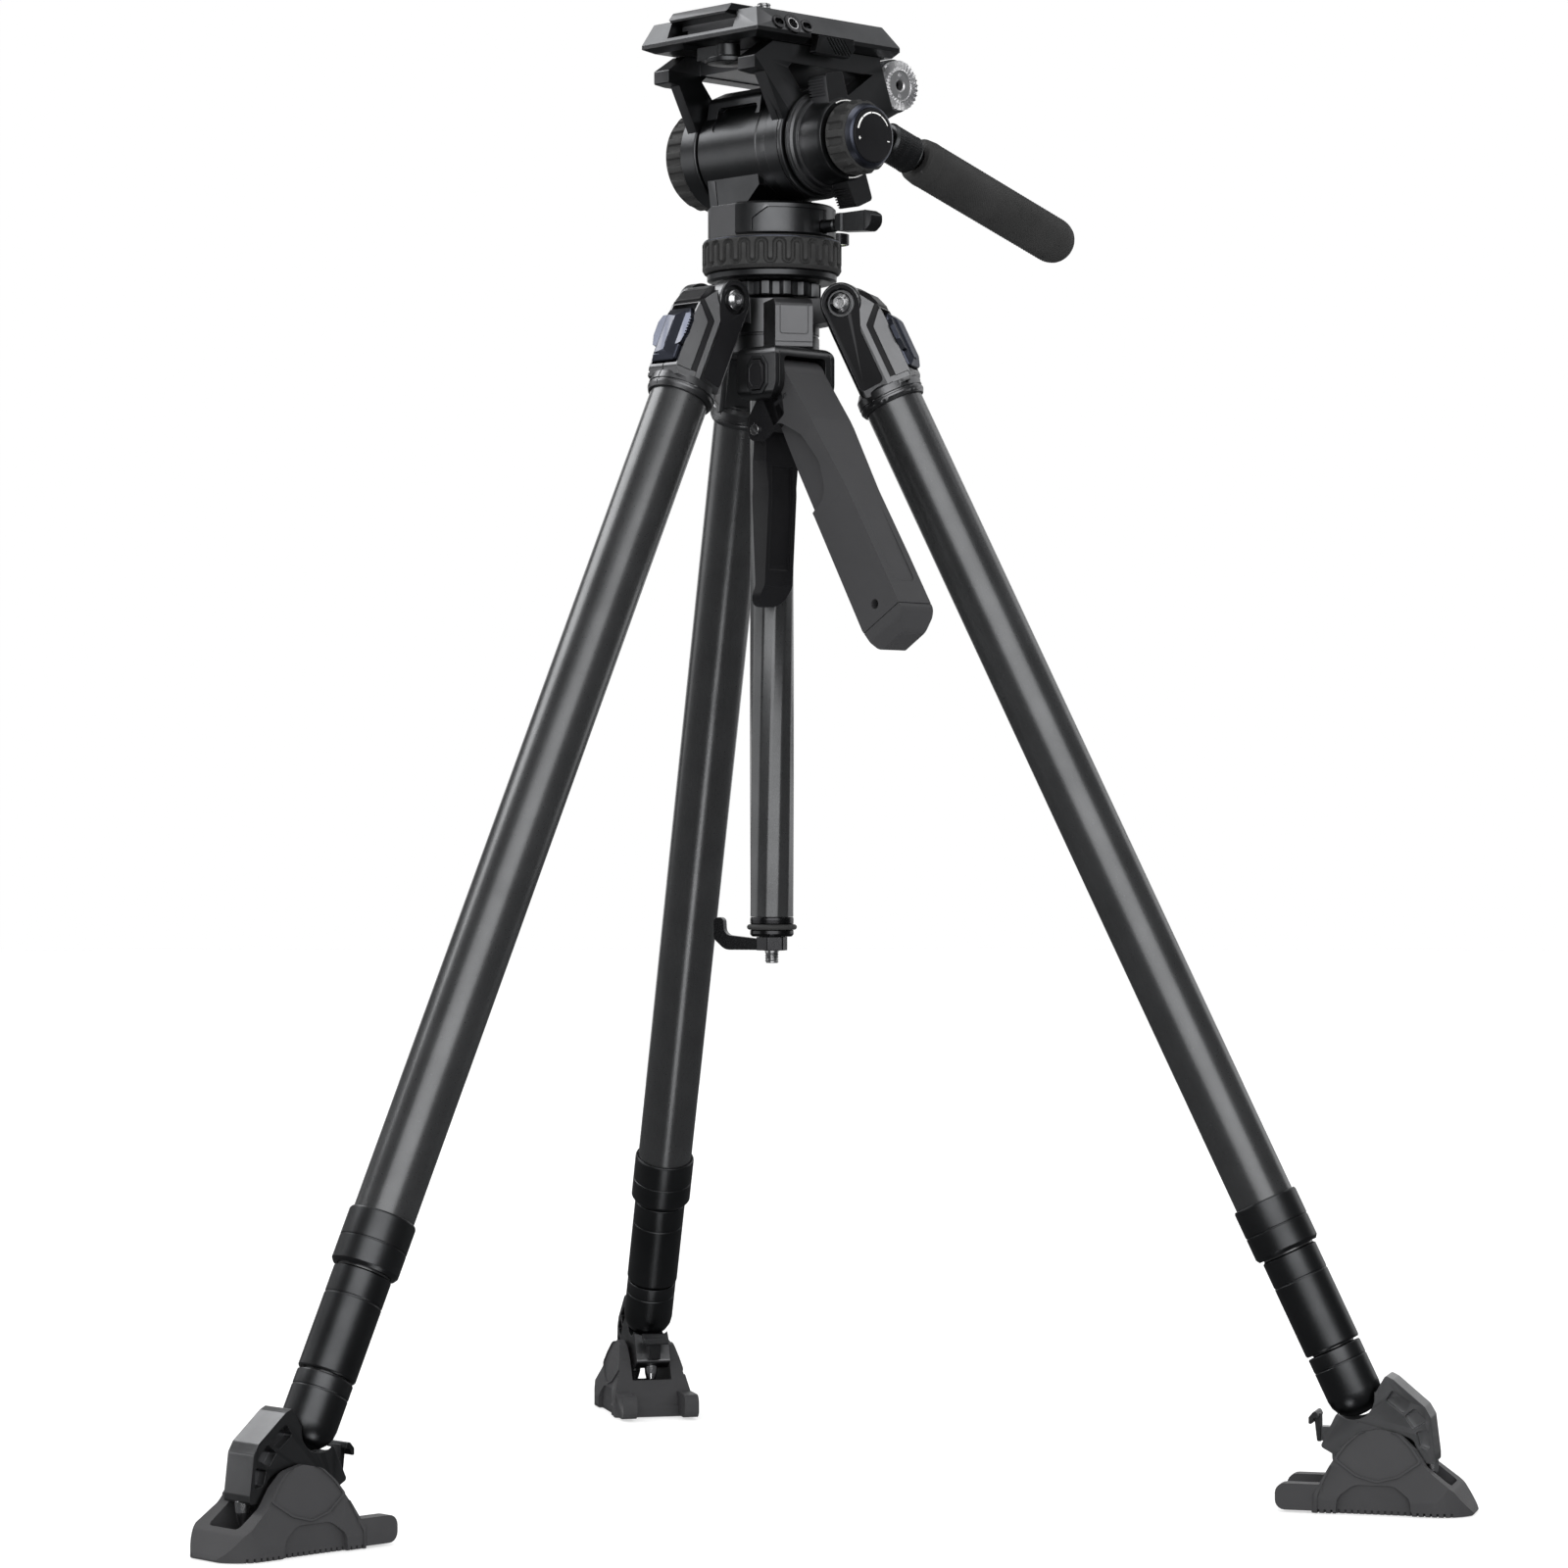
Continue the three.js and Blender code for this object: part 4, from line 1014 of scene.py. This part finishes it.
def cheek_shape(start, end, inset):
    """One cheek of the cradle; inset is the place along X where its lower front arm starts."""
    arms = above_axis([
        (-33, 12), (-48, 40), (-57, 41, 1), (-57, 49, 1), (-41, 59.6), (60, 59.6), (80, 59.6, 4), (92, 48, 4),
        (78, 31), (33, 8),
    ])
    window = above_axis([
        (-28.5, 44.5, 1), (-15.5, 29.5, 2), (22, 31, 2), (49, 50, 1), (46, 52, 1), (38, 47.5, 1),
        (-25, 47.5, 1),
    ])
    thinned = above_axis([(-62, 40), (-34, 40), (-14, 20), (-30, 0), (-62, 0)])
    rim = [(0, start), (CHEEK_RADIUS, start, 0.8), (CHEEK_RADIUS, end, 1.2), (0, end)]
    ring = turned("x", rim, 144, TILT_AXIS)
    bare = cut(
        prism("x", arms, start, end), prism("x", window, -60, 60), prism("x", thinned, start - 1, inset),
    )
    return join(bare, ring)


def cradle_shape():
    top = RECEIVER_BOTTOM - GAP
    platform = prism("x", [(-30, TILT_HEIGHT + 48), (56, TILT_HEIGHT + 48), (56, top), (-30, top)], -48, 44)
    boss = rod("x", 17.2, -30, 30, ROSETTE_CENTRE, 96, 0.8)
    rim = [(0, 20.5), (CHEEK_RADIUS - 1, 20.5, 0.8), (CHEEK_RADIUS - 1, 30), (0, 30)]
    left_ring = turned("x", rim, 144, TILT_AXIS)
    body = join(cheek_shape(29, 44, 34.5), cheek_shape(-48, -34.5, -42.5), left_ring, platform)
    rooms = [rod("x", 18.5, a, b, ROSETTE_CENTRE) for a, b in ((29, 70), (-70, -29))]
    bore = rod("x", SHAFT_RADIUS + FIT, -70, 70, TILT_AXIS)
    hole = rod("x", 3.3, 10, 40, ROSETTE_CENTRE, 40)
    bridge = block(-30, 30, 50, 78, ROSETTE_HEIGHT + 2, top)
    groove = tube("x", 40, CHEEK_RADIUS - 0.7, 40.2, 40.9, 0, TILT_AXIS, 144)
    beside_rosette = [(52, RECEIVER_BOTTOM), (64, 870), (100, 860), (100, RECEIVER_BOTTOM)]
    rooms.append(prism("x", beside_rosette, 30.5, 50))
    return cut(join(cut(body, *rooms), boss, bridge), bore, hole, groove)


def dial_shape():
    outline = [(8.4, -66), (30.6, -66, 1.5), (32.5, -63, 1.5), (32.5, -51, 1), (31.4, -49, 0.5), (8.4, -49)]
    lobes = 22
    change = ribs(lobes, 1.8, -64.6, -50, 29.5, 1.5)
    return turned("x", dense(outline, 1.2), lobes * 14, TILT_AXIS, change)


def lock_lever_shape():
    hub = turned("x", [
        (0, 45), (32.5, 45, 0.8), (32.5, 47, 0.4), (31.2, 47.5), (31.2, 48.4), (29.6, 49.4, 0.4),
        (28.6, 51.4, 0.4), (27, 52), (26.4, 56), (25.8, 66), (24.8, 69, 0.6), (0, 69),
    ], 144, TILT_AXIS)
    wings = []
    for angle in (14, 204):
        blade = prism("x", symmetric([(9, 18), (8.2, 33, 4), (7.6, 42, 2.5)]), 50, 66)
        heights = [28.6 + 1.8 * k for k in range(7)]
        sides = ((-12, -6.4), (6.4, 12))
        teeth = [block(49, 64, a, b, z, z + 0.9) for z in heights for a, b in sides]
        wings.append(shifted(spun(cut(blade, *teeth), angle, "X"), z=TILT_HEIGHT))
    return cut(join(hub, *wings), rod("x", SHAFT_RADIUS + FIT, 44, 70, TILT_AXIS))


def knob_shape():
    profile = dense([
        (8.4, 70), (21.6, 70, 1), (23, 72, 1), (23, 82.4, 1), (20.6, 86, 0.8), (17.5, 86), (17.5, 84),
        (8.4, 84),
    ], 1.0)
    return turned("x", profile, 14 * 20, TILT_AXIS, ribs(14, 2.0, 71, 84.6, 20, 1.4))


def knob_ring():
    return turned("x", [(16.9, 84.2), (20.3, 86.1), (18.7, 89.2, 0.8), (16.9, 90.4, 0.3)], 96, TILT_AXIS)


def knob_cap():
    return turned("x", [(0, 84), (16.8, 84), (16.8, 90.6, 0.4), (16.0, 91.2, 0.3), (0, 91.2)], 96, TILT_AXIS)


def on_cap(outline, start, end):
    """An outline on a face across X, about the tilt axis, with its first axis along -Y."""
    return shifted(prism("x", [(-a, *rest) for a, *rest in outline], start, end), z=TILT_HEIGHT)


def knob_marks():
    face = (91.0, 91.45)
    sweep = [(150, 118), (115, 83), (80, 48), (45, 12)]
    inner = 13.4
    shapes = []
    for i, span in enumerate(sweep):
        shapes.append(on_cap(arc_band(inner, inner + 0.5 + 0.25 * i, *span, steps=10), *face))
    minus = rectangle(-13.6, -11.6, -3.2, -2.6)
    plus = [
        (11.4, -3.2), (12.1, -3.2), (12.1, -3.9), (12.7, -3.9), (12.7, -3.2), (13.4, -3.2), (13.4, -2.6),
        (12.7, -2.6), (12.7, -1.9), (12.1, -1.9), (12.1, -2.6), (11.4, -2.6),
    ]
    return join(*shapes, on_cap(minus, *face), on_cap(plus, *face))


def lever_marks():
    spans = [(100, 62), (205, 192), (235, 210), (270, 238)]
    return join(*[on_cap(arc_band(23.6, 24.3, *span, steps=12), 68.6, 69.12) for span in spans])


# ---- Head: camera plate ----

def capsule(length, radius, centre_y):
    half = length / 2
    return rectangle(centre_y - half, centre_y + half, -radius, radius, radius * 0.98)


SIDE_SLOPE = math.degrees(math.atan2(RECEIVER_HALF_WIDTH - RECEIVER_HALF_TOP, RECEIVER_TOP - RECEIVER_EDGE))
SOCKET_CENTRE = (50.83, -31, 911.7)
SLOT_OFFSETS = (-12, 12)


def receiver_shape():
    wide, top, low = RECEIVER_HALF_WIDTH, RECEIVER_HALF_TOP, RECEIVER_EDGE - 2.5
    across = symmetric([(46, RECEIVER_BOTTOM), (wide, low), (wide, RECEIVER_EDGE), (top, RECEIVER_TOP)])
    along = [
        (-58, RECEIVER_BOTTOM), (61.4, RECEIVER_BOTTOM), (61.4, RECEIVER_EDGE + 1), (51.5, RECEIVER_TOP),
        (-58, RECEIVER_TOP), (-63, RECEIVER_EDGE), (-63, low),
    ]
    body = common(prism("y", across, -64, 62), prism("x", along, -wide, wide))
    channel = symmetric([(30, CHANNEL_FLOOR), (30, 918), (28.6, 920), (28.6, 930)])
    button_room = block(46.4, 60, -17, 20.4, 890, 907.6)
    relief = prism("y", symmetric([(20, 900), (16, 904)]), -70, -44)
    openings = [on_side(shape) for shape in socket_openings()]
    return cut(body, prism("y", channel, -70, 70), button_room, relief, *openings)


def socket_openings():
    """The round socket and the slot on each side of it."""
    slots = [prism("x", capsule(7, 2.1, y), -2.5, 6, 6) for y in SLOT_OFFSETS]
    return [rod("x", 4.4, -8, 6, sides=48), *slots]


def on_side(shape):
    """A shape drawn about the accessory socket, set on the receiver's sloping side."""
    return shifted(spun(shape, -SIDE_SLOPE, "Y"), *SOCKET_CENTRE)


def socket_rim():
    """The raised rim round the accessory socket and its two slots."""
    wings = [prism("x", capsule(9.5, 4.6, y), -1, 0.9, 6) for y in SLOT_OFFSETS]
    rim = join(rod("x", 6.6, -1, 1.1, sides=48), *wings)
    return on_side(cut(rim, *socket_openings()))


def socket_insert():
    profile = dense([(3.0, -6), (4.3, -6), (4.3, 0.9, 0.2), (3.4, 0.9, 0.2)], 0.3)
    return on_side(turned("x", profile, 40))


PAD_BEDS = ((-54, -20), (8, 38))  # where the two rubber pads start and end along Y


def plate_shape():
    across = symmetric([
        (22, CHANNEL_FLOOR + GAP), (22, 914), (PLATE_HALF, 914), (PLATE_HALF, 917), (PLATE_HALF - 2, 918.5),
        (PLATE_HALF, 920), (PLATE_HALF, PLATE_TOP, 0.8),
    ])
    along = [
        (-52, 909), (46, 909), (46, PLATE_TOP), (-60, PLATE_TOP, 0.8), (-64, 919.5), (-64, 918), (-52, 917),
    ]
    body = common(prism("y", across, -64, 46), prism("x", along, -PLATE_HALF, PLATE_HALF))
    room = rod("z", 7, 914.5, 940, (0, SCREW_Y), 48)
    stem = rod("z", 3.6, 900, 940, (0, SCREW_Y), 40)
    beds = [prism("z", rectangle(-21, 21, a, b, 2), PLATE_TOP - 0.8, 940) for a, b in PAD_BEDS]
    return cut(body, room, stem, *beds)


def plate_pads():
    shapes = []
    for start, end in PAD_BEDS:
        a, b = start + GAP, end - GAP
        pad = prism("z", rectangle(-20.7, 20.7, a, b, 1.8), PLATE_TOP - 0.9, PLATE_TOP - 0.1)
        rows = [a + 1.6 + 3 * k for k in range(int((b - a) / 3))]
        lines = [block(-19, 19, y, y + 0.8, PLATE_TOP - 0.4, PLATE_TOP + 1) for y in rows]
        shapes.append(cut(pad, *lines))
    return join(*shapes)


def screw_shape():
    profile = dense([
        (0, 915), (6.5, 915, 0.4), (6.5, 919, 0.4), (4.0, 919), (4.4, 919.6), (4.4, 933.2), (3.6, 934, 0.3),
        (0, 934),
    ], 0.3)
    body = turned("z", profile, 40, (0, SCREW_Y), thread(1.59, 0.5, 919.8, 933.2, 3.4))
    return cut(body, block(-6, 6, SCREW_Y - 0.7, SCREW_Y + 0.7, 932.6, 935))


def release_shape():
    side = [(-15.5, 895.5, 1), (13.5, 894.9, 1), (19, 901, 1), (16, 906.5, 1), (-12, 906.5, 1)]
    body = prism("x", side, 50, 55.5)
    lines = []
    for k in range(6):
        start = -6.4 + 2.9 * k
        slant = [(start, 906), (start + 1.2, 906), (start + 9.4, 896), (start + 8.2, 896)]
        lines.append(prism("x", slant, 54.5, 56))
    return cut(body, *lines)


def plate_lock_shape():
    top = RECEIVER_BOTTOM - GAP
    hub = turned("z", [
        (0, 888.5), (13.2, 889.2, 0.4), (13.5, 889.8), (13.5, 892.3, 0.6), (8, 893.4), (7.5, 894),
        (7.5, top, 0.4), (0, top),
    ], 72, (13, -50))
    arm = prism("z", [(-9, -57, 1.5), (10, -57), (10, -45), (-9, -45, 1.5)], 892.5, top - 0.6)
    return join(hub, arm)


# ---- Head: rosette and pan bar ----

def rosette_shape():
    teeth, face = 30, 35.5

    def change(angle, radius, place):
        if place < face - 0.6 or radius < 9.6:
            return radius, place
        step = abs((angle * teeth / TAU) % 1 - 0.5) * 2
        return radius, place - 2.2 * step * min(1, (radius - 9.6) / 1.2)

    profile = dense([
        (3.3, 30.3), (ROSETTE_RADIUS, 30.3, 0.3), (ROSETTE_RADIUS, face), (9.6, face), (9.5, face - 0.5),
        (4.2, face - 0.5), (3.3, face - 1.2),
    ], 1.3)
    disc = turned("x", profile, teeth * 4, ROSETTE_CENTRE, change)
    holes = []
    for angle in (95, 265):
        across, up = on_circle(6.9, math.radians(angle))
        holes.append(rod("x", 1.5, 32.5, 40, (ROSETTE_Y + across, ROSETTE_HEIGHT + up), 24))
    return cut(disc, *holes)


def bar_shape():
    reach = -PAN_BAR_X - 30 - GAP
    clamp = turned("x", [(0, -8), (14.6, -8, 0.5), (16, -6.2, 0.5), (16, reach, 0.5), (0, reach)], 96)
    sleeve = turned("y", [(0, 0), (9.5, 0), (9.5, 66, 0.6), (0, 66)], 72)
    shaft = turned("y", [(0, 60), (BAR_RADIUS, 60), (BAR_RADIUS, 190, 0.5), (0, 190)], 72)
    split = block(-9, 13, -17, 0, -0.6, 0.6)
    return cut(join(clamp, sleeve, shaft), split)


def collar_knurled():
    bore, low, high = BAR_RADIUS + FIT, 66.3, 92.5
    outline = [
        (bore, low), (11.5, low, 0.5), (13, low + 2, 0.5), (13, high - 2, 0.5), (11.5, high, 0.5),
        (bore, high),
    ]
    return turned("y", dense(outline, 0.45), 42 * 5, change=knurl(42, 1.9, 0.55, 68.6, 90.2, 12.4))


def bar_grip_shape():
    radius, start, end = BAR_GRIP_RADIUS, BAR_GRIP_START, BAR_GRIP_END
    bore = BAR_RADIUS + FIT
    dome = [(across, end - radius + along) for across, along in quarter(radius, 0)[:-1]]
    profile = [
        (0, 195), (bore, 195), (bore, start), (12.2, start, 1), (radius - 0.9, start + 1.6, 1.5),
        (radius, 106), (radius, 107),
    ]
    body = dense([*profile, *dome, (0, end)], 0.62)
    return turned("y", body, 46 * 4, change=knurl(46, 2.48, 0.42, 108, 244, 11))


# ---- Putting the pieces in place ----

def build_legs():
    metal = "black_metal"
    # piece, shape, bevel, frame, body, finish, slot and the CAD node that it stands for
    rows = [
        ("shoulder_casting", shoulder_casting(), 0.55, "leg", "leg", CAST_GREY, metal, "shoulder"),
        ("shoulder_trim", shoulder_trim(), 0.2, "leg", "leg", PLASTIC, "black_plastic", "shoulder"),
        ("tab_shell", tab_shape(), 0.5, "leg", "leg_tab", SLATE, "slate_metal", "angle_tab"),
        ("tube_skin", upper_tube(), 0, "leg", "leg", CARBON, "carbon", "upper_tube"),
        ("collar_ring", collar_shape(), 0, "leg", "leg", ANODISED, metal, "lower_collar"),
        ("middle_tube_skin", middle_tube(), 0, "leg", "leg_middle", CARBON, "carbon", "middle_stage"),
        ("middle_sleeve", middle_sleeve(), 0, "leg", "leg_middle", ANODISED, metal, "middle_stage"),
        ("lower_tube_skin", lower_tube(), 0, "leg", "leg_lower", CARBON, "carbon", "lower_stage"),
        ("ball_adapter", ball_adapter(), 0, "leg", "leg_lower", ANODISED, metal, "lower_stage"),
        ("foot_bracket", foot_bracket(), 0.7, "foot", "leg_foot", CAST_GREY, metal, "foot_frame"),
        ("outer_spike", spike(46, -37, -56), 0, "foot", "leg_foot", STEEL, "steel", "foot_frame"),
        ("inner_spike", spike(-10, -32, -54), 0, "foot", "leg_foot", STEEL, "steel", "foot_frame"),
        ("overshoe", shoe_shape(), 0.5, "foot", "leg_foot", SOLE_RUBBER, "rubber", "foot_shoe"),
        ("shoe_latch", latch_shape(), 0.4, "foot", "leg_latch", ANODISED, metal, "foot_latch"),
        ("bolt", bolt_shape(), 0, "pivot", "spider", STEEL, "steel", "pivot_bolt"),
    ]
    meshes = {name: finished_mesh(name, shape, bevel) for name, shape, bevel, *rest in rows}
    for side, azimuth in LEG_AZIMUTHS.items():
        around = turn(azimuth, "Z")
        pivot = around @ at(PIVOT_RADIUS, 0, PIVOT_HEIGHT)
        foot = around @ at(FOOT_REACH, 0, BALL_HEIGHT)
        places = {"pivot": pivot, "leg": pivot @ turn(-LEG_LEAN, "Y"), "foot": foot}
        for name, shape, bevel, where, body, paint, slot, node in rows:
            body = body if body == "spider" else f"{side}_{body}"
            show(f"{side}_{name}", meshes[name], places[where], body, paint, f"{side}_leg_{node}")


def build_column():
    put("spider_casting", hub_shape(), 0.5, "spider", ANODISED, "spider_hub")
    put("lock_collar_skin", lock_collar_shape(), 0, "lock_collar", MACHINED, "column_lock_collar")
    put("column_skin", column_shape(), 0, "column", CARBON, "column_tube")
    put("column_ferrule", ferrule(), 0, "column", SATIN, "column_end_cap")
    put("column_ring", rubber_ring(), 0, "column", RUBBER, "column_end_cap")
    put("hook_spindle", spindle_shape(), 0, "column", SATIN, "column_end_cap")
    put("column_stud", stud_shape(), 0, "column", STEEL, "column_end_cap")
    put("hook_casting", hook_shape(), 0.5, "hook", SATIN, "weight_hook", turn(-150, "Z"))


def build_grip():
    leaning = at(*GRIP_PIVOT) @ turn(-GRIP_LEAN, "Y")
    put("bracket_casting", bracket_shape(), 0.7, "spider", CAST_GREY, "handle_bracket")
    put("button_frame", button_frame(), 0.4, "spider", ANODISED, "handle_bracket")
    put("button_cap", button_shape(), 0.4, "grip_button", PLASTIC, "handle_lock_button")
    put("grip_body", handle_shape(), 0.8, "grip", PLASTIC, "grip_handle", leaning)
    put("grip_ears", ears_shape(), 0.6, "grip", GLOSS_PLASTIC, "grip_handle", leaning)
    for side, way in (("near", -1), ("far", 1)):
        put(f"{side}_grip_screw", slotted_screw(way), 0.15, "grip", STEEL, "grip_handle")
    hinge = at(*TRIGGER_PIVOT)
    put("trigger_blade", trigger_shape(), 0.9, "trigger", GLOSS_PLASTIC, "trigger_lever", hinge)


def build_head():
    put("head_flange", flange_shape(), 0, "column", ANODISED, "head_base_flange")
    put("drag_ring_rubber", drag_ring_shape(), 0, "drag_ring", RUBBER, "pan_drag_ring")
    for name, height in (("lower", 764.6), ("upper", 782.4)):
        put(f"drag_ring_{name}_rim", rim_ring(height), 0, "drag_ring", SLATE, "pan_drag_ring")
    put("pan_base_body", pan_base_shape(), 0.3, "pan", MACHINED, "pan_base")
    put("pan_spindle_bar", tube("z", 9, 3, 765, 803, 0.4), 0, "pan", STEEL, "pan_spindle")
    put("level_bezel", level_bezel(), 0, "pan", SATIN, "bubble_level")
    put("level_dome", level_dome(), 0, "pan", LEVEL_GREEN, "bubble_level")
    put("pan_lock_tab", pan_lock_shape(), 0.4, "pan_lock", ANODISED, "pan_lock_lever")
    put("barrel_body", barrel_shape(), 0.35, "pan", MACHINED, "drag_barrel")
    put("tilt_axle", tube("x", 8, 3, -62, 86, 0.4, TILT_AXIS), 0, "tilt", STEEL, "tilt_shaft")
    put("cradle_body", cradle_shape(), 0.6, "tilt", MACHINED, "tilt_cradle")
    put("balance_dial_grip", dial_shape(), 0, "balance_dial", RUBBER, "counterbalance_dial")
    put("tilt_lock_body", lock_lever_shape(), 0.4, "tilt_lock", ANODISED, "tilt_lock_lever")
    put("tilt_lock_marks", lever_marks(), 0, "tilt_lock", MARK, "tilt_lock_lever")
    put("drag_knob_grip", knob_shape(), 0, "drag_knob", RUBBER, "tilt_drag_knob")
    put("drag_knob_ring", knob_ring(), 0, "drag_knob", SLATE, "tilt_drag_knob")
    put("drag_knob_cap", knob_cap(), 0, "drag_knob", PLASTIC, "tilt_drag_knob")
    put("drag_knob_marks", knob_marks(), 0, "drag_knob", MARK, "tilt_drag_knob")
    put("receiver_body", receiver_shape(), 0.5, "tilt", MACHINED, "plate_receiver")
    put("accessory_rim", socket_rim(), 0.25, "tilt", SATIN, "plate_receiver")
    put("accessory_insert", socket_insert(), 0, "tilt", STEEL, "plate_receiver")
    put("camera_plate_body", plate_shape(), 0.4, "plate", MACHINED, "quick_release_plate")
    put("camera_plate_pads", plate_pads(), 0.2, "plate", RUBBER, "quick_release_plate")
    put("camera_screw_thread", screw_shape(), 0, "mount_screw", STEEL, "camera_screw")
    put("release_slider", release_shape(), 0.3, "release_button", ANODISED, "plate_release_button")
    put("plate_lock_arm", plate_lock_shape(), 0.4, "plate_lock", ANODISED, "plate_lock_lever")
    put("rosette_disc", rosette_shape(), 0, "tilt", SATIN_STEEL, "rosette")
    bar = at(PAN_BAR_X, ROSETTE_Y, ROSETTE_HEIGHT) @ turn(-PAN_BAR_DROP, "X")
    put("bar_rod", bar_shape(), 0.3, "bar", SATIN, "pan_bar", bar)
    put("bar_collar_knurled", collar_knurled(), 0, "bar_collar", ANODISED, "pan_bar_twist_collar", bar)
    put("bar_grip_rubber", bar_grip_shape(), 0, "bar_grip", RUBBER, "pan_bar_grip", bar)


build_legs()
build_column()
build_grip()
build_head()


# ---- Studio: camera, soft lights, pale floor and white surround ----

CAMERA_PLACE = (2101.7, -2011.2, 408)
CAMERA_TURN = (90.6545, 0, 46.11)
TOWARD_CAMERA = math.degrees(math.atan2(CAMERA_PLACE[1], CAMERA_PLACE[0]))
MIDDLE = Vector((0, 0, 0.5))


def add_camera():
    data = bpy.data.cameras.new("camera")
    data.lens = 105.8
    data.sensor_width = 36
    camera = bpy.data.objects.new("camera", data)
    bpy.context.scene.collection.objects.link(camera)
    camera.location = ORIGIN @ (Vector(CAMERA_PLACE) * MM)
    camera.rotation_euler = [math.radians(a) for a in CAMERA_TURN]
    bpy.context.scene.camera = camera


def softbox(name, bearing, height, distance, width, tall, brightness):
    """A soft light that faces the object. The bearing is in degrees to the right of the camera."""
    angle = math.radians(TOWARD_CAMERA + bearing)
    data = bpy.data.lights.new(name, "AREA")
    data.shape = "RECTANGLE"
    data.size = width
    data.size_y = tall
    data.energy = brightness * math.pi * width * tall
    light = bpy.data.objects.new(name, data)
    bpy.context.scene.collection.objects.link(light)
    light.visible_camera = False
    light.location = Vector((distance * math.cos(angle), distance * math.sin(angle), height))
    light.rotation_euler = (MIDDLE - light.location).to_track_quat("-Z", "Y").to_euler()


def plain(name, colour, strength):
    return new_paint(
        name, Base_Color=(*colour, 1), Roughness=0.9, Emission_Color=(1, 1, 1, 1), Emission_Strength=strength,
    )


def add_floor():
    mesh = bpy.data.meshes.new("floor")
    reach = 12
    corners = [(x * reach, y * reach, 0) for x, y in ((-1, -1), (1, -1), (1, 1), (-1, 1))]
    mesh.from_pydata(corners, [], [(0, 1, 2, 3)])
    floor = bpy.data.objects.new("floor", mesh)
    bpy.context.scene.collection.objects.link(floor)
    floor.location.z = -0.0005
    floor.visible_glossy = False
    mesh.materials.append(plain("pale_floor", (0.45, 0.45, 0.45), 0.58))


def add_surround():
    bpy.ops.mesh.primitive_uv_sphere_add(segments=48, ring_count=24, radius=14)
    dome = bpy.context.object
    dome.name = "surround"
    dome.data.materials.append(plain("white_surround", (0, 0, 0), 1.0))
    dome.visible_glossy = False
    dome.visible_shadow = False


def add_world():
    world = bpy.data.worlds.new("studio")
    world.use_nodes = True
    world.node_tree.nodes["Background"].inputs["Color"].default_value = (0.95, 0.97, 1.0, 1)
    world.node_tree.nodes["Background"].inputs["Strength"].default_value = 0.08
    bpy.context.scene.world = world


add_camera()
add_floor()
add_surround()
add_world()
softbox("key", 5, 1.5, 3.4, 4.1, 3.0, 1.8)
softbox("left_high", -112, 2.9, 2.8, 2.6, 1.7, 3.4)
softbox("left_low", -98, 0.6, 3.0, 3.6, 1.1, 0.8)
softbox("right_rim", 128, 1.2, 3.0, 1.4, 2.6, 0.9)
softbox("backdrop", 180, 1.4, 4.5, 5.0, 2.8, 0.8)
softbox("overhead", 0, 3.2, 0.4, 2.0, 2.0, 1.3)
softbox("right_high", 106, 3.2, 2.8, 1.6, 1.2, 0.9)
softbox("below", 2, -0.9, 0.85, 0.35, 0.6, 3.0)
bpy.context.scene.view_settings.view_transform = "Standard"
